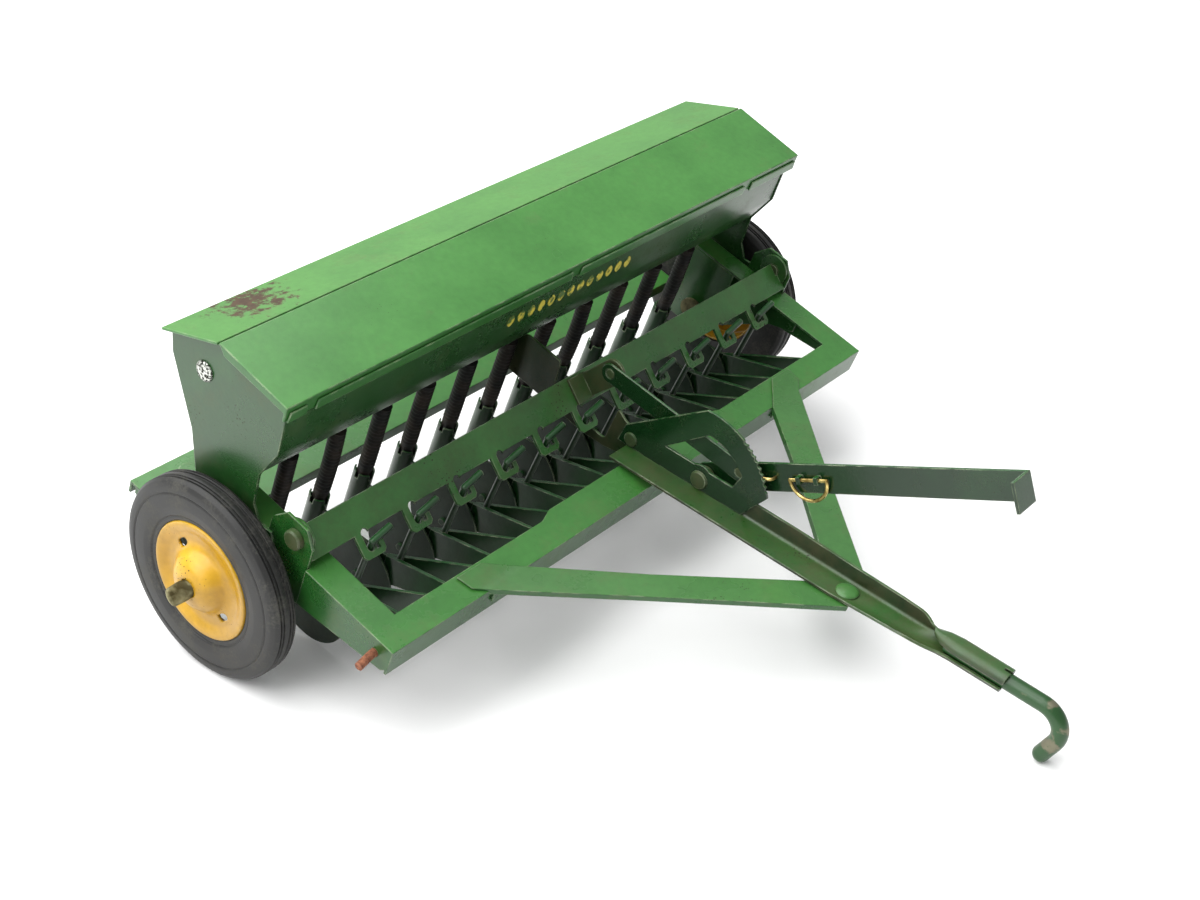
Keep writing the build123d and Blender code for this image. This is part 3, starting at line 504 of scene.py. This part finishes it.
lever_pivot = (-68.0, 30.9)
link_arm = (-9.2, 10.2)
lever_pin_at = (lever_pivot[0] + link_arm[0], lever_pivot[1] + link_arm[1])
crank_pin_at = (bar_pivot[0] + link_arm[0], bar_pivot[1] + link_arm[1])


def stepped_pin(at):
    def build(shape):
        pin = [
            (4.4, 0), (4.4, 1.5), (6.8, 1.5), (6.8, 2.5), (7.15, 2.5), (7.5, 2.1),
            (7.5, 1.5), (7.3, 1.2), (7.25, 0),
        ]
        turn_profile(shape, eased(pin, 0.2, closed=False), *at)
    return build


rivet_piece("crank_rivet", stepped_pin(crank_pin_at), "crank_pin", "lift_bar")
rivet_piece("link_rivet", stepped_pin(lever_pin_at), "lever_pin", "lever")


def lever_pivot_stack(shape):
    stack = [
        (1.3, 0), (1.5, 2.6), (2.2, 3.0), (2.2, 2.0), (3.8, 2.0), (3.8, 3.2), (5.7, 3.2), (5.7, 2.0),
        (6.9, 2.0), (6.9, 3.2), (7.4, 3.0), (7.8, 2.3), (7.8, 1.5), (7.5, 1.2), (7.5, 0),
    ]
    turn_profile(shape, stack, *lever_pivot)


rivet_piece("lever_pivot_rivet", lever_pivot_stack, "lever_rivet", "chassis")


def quadrant_fixing(shape):
    turn_profile(shape, [(3.8, 0), (3.8, 1.5), (2.2, 1.5), (2.2, 2.4), (1.7, 2.1), (1.5, 0)], -43.1, 25.6)


rivet_piece("quadrant_fixing", quadrant_fixing, "quadrant_rivet", "chassis")

# The trip ring and latch: soft brass wire, bent by hand, dull where fingers don't reach.
brass, brass_tree, brass_shader = new_material("tarnished_brass_wire")
brass_coords = add_node(brass_tree, "TexCoord").outputs["Object"]
tarnish = add_node(brass_tree, "TexNoise", Vector=brass_coords, Scale=400.0, Detail=4.0).outputs["Fac"]
tarnish = add_node(brass_tree, "MapRange", a_0=tarnish, a_1=0.4, a_2=0.65).outputs[0]
brass_tint = add_node(
    brass_tree, "Mix", {"data_type": "RGBA"}, a_0=tarnish, a_6=srgb("d8c07a"), a_7=srgb("7d6a3a")
)
brass_tree.links.new(brass_tint.outputs[2], brass_shader.inputs["Base Color"])
brass_rough = add_node(brass_tree, "MapRange", a_0=tarnish, a_3=0.22, a_4=0.5).outputs[0]
brass_tree.links.new(brass_rough, brass_shader.inputs["Roughness"])
brass_shader.inputs["Metallic"].default_value = 1.0
finish_node("trip_ring", brass)
lever_rise = radians(139.3)


def on_lever(x, along, across):
    """A point on the lever: along its length from the pivot and across it, in mm."""
    back = lever_pivot[0] + along * cos(lever_rise) - across * sin(lever_rise)
    up = lever_pivot[1] + along * sin(lever_rise) + across * cos(lever_rise)
    return place(x, back, up)


latch = bpy.data.curves.new("latch_wire_bent", "CURVE")
latch.dimensions = "3D"
latch.bevel_depth = 0.5 * mm
latch.bevel_resolution = 4
latch.resolution_u = 8
latch.use_fill_caps = True
run = latch.splines.new("NURBS")
latch_points = (
    (7.6, 27.4, 1.8), (7.9, 25.6, 1.0), (7.4, 24.9, 0.0), (5.0, 25.0, 0.0),
    (3.8, 24.6, -0.2), (3.6, 22.4, -0.6), (3.7, 19.2, -0.2), (3.8, 17.4, 1.4),
)
run.points.add(len(latch_points) - 1)
for point, (x, along, across) in zip(run.points, latch_points):
    point.co = (*on_lever(x, along, across), 1.0)
run.order_u = 3
run.use_endpoint_u = True
latch.materials.append(brass)
latch_piece = bpy.data.objects.new("latch_wire_bent", latch)
bpy.context.scene.collection.objects.link(latch_piece)
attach(latch_piece, "lever")
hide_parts("latch_wire")

# The tongue: one pressing whose floor and side wall run forward as an L, then spoon together and
# roll into a sleeve round the hitch rod. Behind, the wall is a notched plate up to the hopper.
tongue_slope = tan(radians(10.9))
floor_left = -6.0
wall_x = 3.0
sheet = 0.8
sleeve_radius = 2.5
sleeve_rise = 1.7
wall_heights = ((-42.5, 6.6), (-69.7, 6.0), (-101.9, 5.8), (-118.8, 5.3), (-135.7, 5.0), (-153.0, 4.0))


def floor_up(back):
    return 22.7 + (-42.5 - back) * tongue_slope


def wall_height(back):
    for (near, high), (far, low) in zip(wall_heights, wall_heights[1:]):
        if back >= far:
            return high + (low - high) * (near - back) / (near - far)
    return wall_heights[-1][1]


def tongue_section(back):
    """Cross-section of the tongue's inner face, from its left edge round to the top of its wall."""
    high = wall_height(back)
    spoon = min(max((-142.0 - back) / 13.5, 0.0), 1.0)
    spoon = spoon * spoon * (3 - 2 * spoon)
    curl = min(max((-118.0 - back) / 26.0, 0.0), 1.0) * (1 - spoon)
    count = 30
    section = []
    for i in range(count):
        t = i / (count - 1)
        along = t * (wall_x - floor_left + high)
        over = along - (wall_x - floor_left - 1.0)
        if over < 0:
            lift = 1.7 * curl * max(1 - along / 4.0, 0.0) ** 2
            flat = (floor_left + along, lift)
        elif over < 2.0:
            angle = over / 2.0 * pi / 2
            flat = (wall_x - 1.0 + sin(angle), 1.0 - cos(angle))
        else:
            flat = (wall_x, over - 1.0)
        angle = radians(206) + t * radians(322)
        square = (abs(cos(angle)) ** 4 + abs(sin(angle)) ** 4) ** 0.25
        rolled = (sleeve_radius * cos(angle) / square, sleeve_rise + sleeve_radius * sin(angle) / square)
        section.append([a + (b - a) * spoon for a, b in zip(flat, rolled)])
    return section


def roll_tongue(shape):
    stations = [-42.5 - 4.5 * i for i in range(19)] + [-125.5 - 1.5 * i for i in range(19)]
    stations += [-156.0, -160.0, -166.0, -169.4, -169.6, -171.7]
    rows = []
    for back in stations:
        base = floor_up(back)
        rows.append([shape.verts.new(place(x, back, base + up)) for x, up in tongue_section(back)])
    crown_gaps = (5, 6, 13, 14, 21, 22)
    for number, (one, two) in enumerate(zip(rows, rows[1:])):
        for i in range(len(one) - 1):
            if number < len(rows) - 2 or i not in crown_gaps:
                shape.faces.new((one[i], two[i], two[i + 1], one[i + 1]))


# The tongue's enamel is a darker copy: partly real grime on the floor, partly painted shade for the dark side
# wall.
tongue_enamel = sprayed_enamel(
    "green_enamel_tongue", "0b290e", "2a5a23", "4c4128", dirt=0.52, chips=0.9, gloss=0.2
)
tongue_piece = mesh_piece("tongue_pressing", roll_tongue, tongue_enamel, face_up=True)
thick = tongue_piece.modifiers.new("sheet_thickness", "SOLIDIFY")
thick.thickness = sheet * mm
thick.offset = -1.0
soften(tongue_piece, 0.2)
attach(tongue_piece, "chassis")
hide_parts("tongue")


def cut_rear_plate(shape):
    outline = (
        (9.0, 27.2), (5.0, 27.2), (2.6, 30.4), (-11.5, 30.6), (-12.5, 18.0), (-34.5, 18.0), (-35.2, 31.0),
        (-39.6, 28.8), (-42.5, 29.3), (-42.5, 17.9), (-36.0, 15.6), (-28.0, 14.2), (6.0, 14.2), (9.0, 20.0),
    )
    rounded = eased(outline, 1.2)
    solid_outline(shape, rounded, lambda p, depth: place(wall_x + depth, p[0], p[1]), sheet)


rear_plate = mesh_piece("tongue_rear_plate", cut_rear_plate, tongue_enamel)
soften(rear_plate, 0.15)
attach(rear_plate, "chassis")

# The braces: two channel pressings that tie the tongue to the front bar. Each is hooked over the
# bar by a flat end with cut corners, and both meet under the tongue at one large domed rivet.
brace_slope = tan(radians(12.7))
brace_front = -58.0
deck_up = 21.7


def press_brace(sign):
    outer = ((78.2, -49.4), (77.4, -54.4), (73.0, -58.0), (43.5, -87.6), (5.5, -126.5))
    inner = ((69.0, -49.4), (64.0, -53.5), (58.4, -58.0), (36.0, -81.8), (0.3, -117.0))

    def brace_up(back):
        return deck_up + sheet + max(brace_front - back, 0) * brace_slope

    def build(shape):
        rows = []
        for (x_out, back_out), (x_in, back_in) in zip(outer, inner):
            drop = 1.9 if back_out < brace_front + 0.1 else 0.35
            rows.append([
                shape.verts.new(place(sign * x_out, back_out, brace_up(back_out) - drop)),
                shape.verts.new(place(sign * x_out, back_out, brace_up(back_out))),
                shape.verts.new(place(sign * x_in, back_in, brace_up(back_in))),
                shape.verts.new(place(sign * x_in, back_in, brace_up(back_in) - drop)),
            ])
        for one, two in zip(rows, rows[1:]):
            for i in (1, 0, 2):
                shape.faces.new((one[i], one[i + 1], two[i + 1], two[i]))
    return build


def hook_tab(sign):
    def build(shape):
        corners = ((60.5, 22.4), (72.0, 22.4), (71.4, 16.4), (69.6, 15.9), (60.5, 16.6))
        outline = [(sign * x, up) for x, up in corners]
        solid_outline(shape, outline, lambda p, depth: place(p[0], -57.6 - depth, p[1]), 0.7)
    return build


brace_enamel = sprayed_enamel("green_enamel_brace", "215020", "3f7335", "53522f", dirt=0.3, chips=0.7)
for side_name, sign in (("left", -1), ("right", 1)):
    brace = mesh_piece("brace_pressing_" + side_name, press_brace(sign), brace_enamel, 25, face_up=True)
    thick = brace.modifiers.new("sheet_thickness", "SOLIDIFY")
    thick.thickness = 0.7 * mm
    thick.offset = -1.0
    soften(brace, 0.28, 2, 25)
    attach(brace, "chassis")
    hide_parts("brace_" + side_name)
    tab = mesh_piece("brace_hook_" + side_name, hook_tab(sign), brace_enamel)
    soften(tab, 0.2)
    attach(tab, "chassis")


def dome_tongue_rivet(shape):
    """A broad domed head on the tongue floor with its shank down through both braces."""
    across, back = -1.5, -123.0
    rings = []
    profile = [(-2.6, 0.2), (-2.6, 1.5), (0, 1.5), (0.05, 3.3)]
    profile += [(0.3 + 0.75 * sin(a), 3.4 * cos(a)) for a in (0, 0.4, 0.8, 1.15, 1.4)]
    for rise, radius in profile:
        ring = []
        for i in range(32):
            angle = 2 * pi * i / 32
            along = back + radius * sin(angle) * cos(radians(10.9))
            up = floor_up(along) + rise
            ring.append(shape.verts.new(place(across + radius * cos(angle), along, up)))
        rings.append(ring)
    for one, two in zip(rings, rings[1:]):
        for i in range(32):
            k = (i + 1) % 32
            shape.faces.new((one[i], two[i], two[k], one[k]))
    shape.faces.new(rings[0])
    shape.faces.new(rings[-1])


rivet_piece("tongue_dome_rivet", dome_tongue_rivet, "tongue_rivet", "chassis", brace_enamel)

# The hitch rod: round wire, bent cold and painted with the rest. The paint has worn through in
# spots to grey steel, most of all at the hook, where it shines less evenly.
worn_rod, rod_tree, rod_shader = new_material("worn_painted_rod")
rod_coords = add_node(rod_tree, "TexCoord").outputs["Object"]
rod_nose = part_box("hitch_rod")[0][1]
rod_y = add_node(rod_tree, "SeparateXYZ", a_0=rod_coords).outputs["Y"]
rod_rub = add_node(rod_tree, "MapRange", a_0=rod_y, a_1=rod_nose + 0.014, a_2=rod_nose).outputs[0]
rod_noise = add_node(rod_tree, "TexNoise", Vector=rod_coords, Scale=260.0, Detail=6.0).outputs["Fac"]
rod_mask = add_node(rod_tree, "Math", {"operation": "MULTIPLY_ADD"}, a_0=rod_rub, a_1=0.12, a_2=rod_noise)
rod_mask = add_node(rod_tree, "MapRange", a_0=rod_mask.outputs[0], a_1=0.58, a_2=0.68).outputs[0]
rod_drift = add_node(rod_tree, "TexNoise", Vector=rod_coords, Scale=90.0, Detail=3.0).outputs["Fac"]
rod_paint = add_node(
    rod_tree, "Mix", {"data_type": "RGBA"}, a_0=rod_drift, a_6=srgb("0f3213"), a_7=srgb("2c5529")
)
rod_bare = add_node(
    rod_tree, "Mix", {"data_type": "RGBA"}, a_0=rod_noise, a_6=srgb("4b4a38"), a_7=srgb("8d8a74")
)
rod_tint = add_node(
    rod_tree, "Mix", {"data_type": "RGBA"}, a_0=rod_mask, a_6=rod_paint.outputs[2], a_7=rod_bare.outputs[2]
)
rod_tree.links.new(rod_tint.outputs[2], rod_shader.inputs["Base Color"])
rod_metal = add_node(rod_tree, "Math", {"operation": "MULTIPLY"}, a_0=rod_mask, a_1=0.7).outputs[0]
rod_tree.links.new(rod_metal, rod_shader.inputs["Metallic"])
rod_rough = add_node(rod_tree, "MapRange", a_0=rod_mask, a_3=0.3, a_4=0.48).outputs[0]
rod_tree.links.new(rod_rough, rod_shader.inputs["Roughness"])
rod_bump = add_node(rod_tree, "Bump", Strength=0.6, Distance=0.00008, Height=rod_noise).outputs[0]
rod_tree.links.new(rod_bump, rod_shader.inputs["Normal"])
finish_node("hitch_rod", worn_rod)

# The pivot rod of the drag arms: plain wire that was never painted. Its bent ends have rusted.
rust, rust_tree, rust_shader = new_material("flaking_rust")
rust_coords = add_node(rust_tree, "TexCoord").outputs["Object"]
scale_noise = add_node(rust_tree, "TexNoise", Vector=rust_coords, Scale=700.0, Detail=8.0, Roughness=0.7)
scale_noise = scale_noise.outputs["Fac"]
rust_ramp = add_node(rust_tree, "MapRange", a_0=scale_noise, a_1=0.35, a_2=0.65).outputs[0]
rust_tint = add_node(
    rust_tree, "Mix", {"data_type": "RGBA"}, a_0=rust_ramp, a_6=srgb("4b2416"), a_7=srgb("a4694a")
)
rust_tree.links.new(rust_tint.outputs[2], rust_shader.inputs["Base Color"])
rust_shader.inputs["Roughness"].default_value = 0.85
rust_bump = add_node(rust_tree, "Bump", Strength=1.0, Distance=0.00015, Height=scale_noise).outputs[0]
rust_tree.links.new(rust_bump, rust_shader.inputs["Normal"])
finish_node("pivot_rod", rust)

# The openers: a V of thin sheet, a seamed boot and a bent finger, in the frame's green enamel painted darker
# and dustier, the darkness standing in as painted shade for the shadow under the frame. The discs are plain
# blanks in the same enamel, painted darker still as painted shade, their rims pale partly from wear on the
# carpet and partly as a painted highlight.
opener_enamel_painted_shade = sprayed_enamel(
    "green_enamel_opener_painted_shade", "0d2c10", "215426", "20200f", dirt=0.35, chips=0.5, gloss=0.24
)
disc_enamel_painted_shade = sprayed_enamel(
    "green_enamel_disc_painted_shade", "0a2410", "173d1a", "24210f", dirt=0.4, chips=0.7, gloss=0.34
)
opener_count = 11
for index in range(opener_count):
    finish_node(f"opener_{index + 1:02d}", opener_enamel_painted_shade, 0.1)
    finish_node(f"disc_{index + 1:02d}", disc_enamel_painted_shade, 0.12)

# The seed tubes: ribbed black rubber hose, gone brown with age. Each is pushed into its boot and
# over a stub under the trough, and each has taken its own slight bow.
hose, hose_tree, hose_shader = new_material("perished_ribbed_rubber")
hose_coords = add_node(hose_tree, "TexCoord").outputs["Object"]
bloom_noise = add_node(hose_tree, "TexNoise", Vector=hose_coords, Scale=180.0, Detail=6.0).outputs["Fac"]
bloom_ramp = add_node(hose_tree, "MapRange", a_0=bloom_noise, a_1=0.42, a_2=0.7).outputs[0]
# The hose colours are kept near black partly as painted shade for the shadowed space under the trough; the
# brown patches are age.
hose_tint = add_node(
    hose_tree, "Mix", {"data_type": "RGBA"}, a_0=bloom_ramp, a_6=srgb("0c0a08"), a_7=srgb("31261d")
)
hose_tree.links.new(hose_tint.outputs[2], hose_shader.inputs["Base Color"])
hose_shader.inputs["Roughness"].default_value = 0.62
hose_bump = add_node(hose_tree, "Bump", Strength=0.5, Distance=0.0001, Height=bloom_noise).outputs[0]
hose_tree.links.new(hose_bump, hose_shader.inputs["Normal"])
tube_back = 5.7
tube_bottom = -3.2
tube_top = 27.0
rib_pitch = 1.3
opener_pitch = 17.9
draw = random.Random(11)


def ribbed_tube(across, bow_side, bow_back):
    """A hose of 4.6 mm with rings every 1.3 mm. The bow is greatest halfway up."""
    rows_per_rib = 4
    steps = int((tube_top - tube_bottom) / rib_pitch * rows_per_rib)

    def build(shape):
        rings = []
        for step in range(steps + 1):
            t = step / steps
            up = tube_bottom + (tube_top - tube_bottom) * t
            swell = 0.16 * cos(2 * pi * step / rows_per_rib) if 0.2 < t else 0.0
            radius = (2.3 if t > 0.15 else 2.15) + swell
            ring = []
            for i in range(24):
                angle = 2 * pi * i / 24
                x = across + bow_side * sin(pi * t) + radius * cos(angle)
                back = tube_back + bow_back * sin(pi * t) + radius * sin(angle)
                ring.append(shape.verts.new(place(x, back, up)))
            rings.append(ring)
        for one, two in zip(rings, rings[1:]):
            for i in range(24):
                k = (i + 1) % 24
                shape.faces.new((one[i], one[k], two[k], two[i]))
        shape.faces.new(rings[0])
        shape.faces.new(rings[-1])
    return build


for index in range(opener_count):
    across = (index - (opener_count - 1) / 2) * opener_pitch
    bow = (draw.uniform(-0.5, 0.5), draw.uniform(-0.6, 0.2))
    tube = mesh_piece(f"ribbed_tube_{index + 1:02d}", ribbed_tube(across, *bow), hose, 60)
    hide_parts("seed_tubes")
    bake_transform(tube)

# The wheels: spun steel discs in yellow enamel, with a domed hub, a raised rim and two slots.
yellow = sprayed_enamel("yellow_wheel_enamel", "a87e08", "dcac1f", "5f4116", dirt=0.3, chips=0.9, gloss=0.3)
rubber, rubber_tree, rubber_shader = new_material("dusty_tyre_rubber")
rubber_coords = add_node(rubber_tree, "TexCoord").outputs["Object"]
dust_cloud = add_node(rubber_tree, "TexNoise", Vector=rubber_coords, Scale=110.0, Detail=7.0, Roughness=0.7)
dust_cloud = dust_cloud.outputs["Fac"]
dust_grain = add_node(rubber_tree, "TexNoise", Vector=rubber_coords, Scale=1600.0, Detail=3.0).outputs["Fac"]
dust = add_node(rubber_tree, "Math", {"operation": "MULTIPLY_ADD"}, a_0=dust_grain, a_1=0.5, a_2=dust_cloud)
dust = add_node(rubber_tree, "MapRange", a_0=dust.outputs[0], a_1=0.74, a_2=1.02).outputs[0]
rubber_tint = add_node(
    rubber_tree, "Mix", {"data_type": "RGBA"}, a_0=dust, a_6=srgb("141412"), a_7=srgb("4b4a43")
)
rubber_tree.links.new(rubber_tint.outputs[2], rubber_shader.inputs["Base Color"])
rubber_rough = add_node(rubber_tree, "MapRange", a_0=dust, a_3=0.5, a_4=0.9).outputs[0]
rubber_tree.links.new(rubber_rough, rubber_shader.inputs["Roughness"])
rubber_bump = add_node(rubber_tree, "Bump", Strength=0.6, Distance=0.00012, Height=dust_cloud).outputs[0]
rubber_tree.links.new(rubber_bump, rubber_shader.inputs["Normal"])
rim_radius = 17.7
tyre_inner = 112.2
tyre_outer = 121.2
hub_face = 125.0
axle_radius = 2.5


def spin_wheel(sign):
    face = [
        (hub_face - 0.4, axle_radius + 0.05), (hub_face, axle_radius + 0.6), (hub_face - 0.1, 4.0),
        (hub_face - 0.9, 6.3), (hub_face - 2.6, 8.2), (hub_face - 4.9, 9.6), (hub_face - 5.7, 11.2),
        (hub_face - 5.6, 13.6), (hub_face - 4.7, 15.3), (hub_face - 4.2, 16.6), (hub_face - 4.3, rim_radius),
        (tyre_inner + 0.6, rim_radius), (tyre_inner + 0.6, rim_radius - 0.9),
    ]
    back_face = [
        (hub_face - 5.4, rim_radius - 0.9), (hub_face - 5.9, 15.0), (hub_face - 6.6, 13.4),
        (hub_face - 6.6, 11.0), (hub_face - 5.8, 9.0), (hub_face - 3.4, 7.4), (hub_face - 1.9, 5.6),
        (hub_face - 1.4, axle_radius + 1.2), (tyre_inner + 0.6, axle_radius + 1.2),
        (tyre_inner + 0.6, axle_radius + 0.05),
    ]
    profile = eased([(sign * x, r) for x, r in face + back_face], 0.7)

    def build(shape):
        turn_profile(shape, profile, 0, 0, closed=True, segments=96)
    return build


def slot_cutter(sign):
    def build(shape):
        for start in (33, 213):
            centre = (11.4 * cos(radians(start)), 11.4 * sin(radians(start)))
            outline = []
            for step in range(20):
                angle = 2 * pi * step / 20
                stretch = 0.9 if cos(angle) > 0 else -0.9
                along = stretch + 1.2 * cos(angle)
                across = 1.2 * sin(angle)
                turned = radians(start + 90)
                outline.append((
                    centre[0] + along * cos(turned) - across * sin(turned),
                    centre[1] + along * sin(turned) + across * cos(turned),
                ))
            solid_outline(shape, outline, lambda p, depth: place(sign * (hub_face - 12 + depth), *p), 13)
    return build


def mould_tyre(sign):
    tread = []
    for groove in (114.6, 115.6, 117.8, 118.8):
        tread += [(groove - 0.35, 30.0), (groove - 0.22, 29.45)]
        tread += [(groove + 0.22, 29.45), (groove + 0.35, 30.0)]
    wall_out = [
        (tyre_outer - 2.0, 29.9), (tyre_outer - 0.9, 29.2), (tyre_outer - 0.35, 27.9),
        (tyre_outer - 0.1, 26.4), (tyre_outer - 0.45, 26.0), (tyre_outer - 0.1, 25.6),
        (tyre_outer, 22.0), (tyre_outer - 0.4, 19.6),
        (tyre_outer - 0.9, 19.2), (tyre_outer - 0.7, 18.7), (tyre_outer - 1.0, rim_radius),
    ]
    wall_in = [
        (tyre_inner, rim_radius), (tyre_inner, 25.6), (tyre_inner + 0.4, 28.2), (tyre_inner + 1.1, 29.5),
    ]
    profile = [(sign * x, r) for x, r in wall_in + tread + wall_out]

    def build(shape):
        turn_profile(shape, eased(profile, 0.25, steps=2), 0, 0, closed=True, segments=128)
    return build


for side_name, sign in (("left", -1), ("right", 1)):
    wheel = mesh_piece("spun_wheel_" + side_name, spin_wheel(sign), yellow)
    cutter = mesh_piece("slot_cutter_" + side_name, slot_cutter(sign), yellow)
    bite = wheel.modifiers.new("slots", "BOOLEAN")
    bite.operation = "DIFFERENCE"
    bite.solver = "EXACT"
    bite.object = cutter
    bpy.context.view_layer.update()
    cut_wheel = bpy.data.meshes.new_from_object(wheel.evaluated_get(bpy.context.evaluated_depsgraph_get()))
    wheel.modifiers.clear()
    wheel.data = cut_wheel
    bpy.data.objects.remove(cutter)
    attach(wheel, side_name + "_wheel")
    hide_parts("wheel_" + side_name)
    tyre = mesh_piece("moulded_tyre_" + side_name, mould_tyre(sign), rubber)
    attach(tyre, side_name + "_wheel")
    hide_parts("tyre_" + side_name)

# The stub axles: round rod whose outer end is crimped flat to keep the wheel on, its paint long
# gone and the steel tarnished to a greenish brown.
tarnished, tarnish_tree, tarnish_shader = new_material("tarnished_steel")
tarnish_coords = add_node(tarnish_tree, "TexCoord").outputs["Object"]
film_noise = add_node(tarnish_tree, "TexNoise", Vector=tarnish_coords, Scale=300.0, Detail=7.0).outputs["Fac"]
film_ramp = add_node(tarnish_tree, "MapRange", a_0=film_noise, a_1=0.38, a_2=0.64).outputs[0]
tarnish_tint = add_node(
    tarnish_tree, "Mix", {"data_type": "RGBA"}, a_0=film_ramp, a_6=srgb("4a4326"), a_7=srgb("8f8a66")
)
tarnish_tree.links.new(tarnish_tint.outputs[2], tarnish_shader.inputs["Base Color"])
tarnish_shader.inputs["Metallic"].default_value = 0.6
tarnish_rough = add_node(tarnish_tree, "MapRange", a_0=film_ramp, a_3=0.6, a_4=0.35).outputs[0]
tarnish_tree.links.new(tarnish_rough, tarnish_shader.inputs["Roughness"])
tarnish_bump = add_node(tarnish_tree, "Bump", Strength=0.7, Distance=0.0001, Height=film_noise).outputs[0]
tarnish_tree.links.new(tarnish_bump, tarnish_shader.inputs["Normal"])


def crimp_axle(sign):
    crimp_turn = radians(35)

    def build(shape):
        rings = []
        stations = ((97.8, 3.7, 0), (99.0, 3.7, 0), (99.05, 2.5, 0), (124.6, 2.5, 0), (125.3, 2.5, 0.5),
                    (126.2, 2.5, 1.0), (129.9, 2.35, 1.0), (130.7, 2.0, 1.0), (131.0, 1.3, 1.0))
        for x, radius, flat in stations:
            ring = []
            for i in range(36):
                angle = 2 * pi * i / 36
                wide = radius * (1 + 0.14 * flat) * cos(angle)
                thin = radius * (1 - 0.5 * flat) * sin(angle)
                back = wide * cos(crimp_turn) - thin * sin(crimp_turn)
                up = wide * sin(crimp_turn) + thin * cos(crimp_turn)
                ring.append(shape.verts.new(place(sign * x, back, up)))
            rings.append(ring)
        for one, two in zip(rings, rings[1:]):
            for i in range(36):
                k = (i + 1) % 36
                shape.faces.new((one[i], two[i], two[k], one[k]))
        shape.faces.new(rings[0])
        shape.faces.new(rings[-1])
    return build


for side_name, sign in (("left", -1), ("right", 1)):
    axle = mesh_piece("crimped_axle_" + side_name, crimp_axle(sign), tarnished)
    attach(axle, "chassis")
    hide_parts("axle_" + side_name)
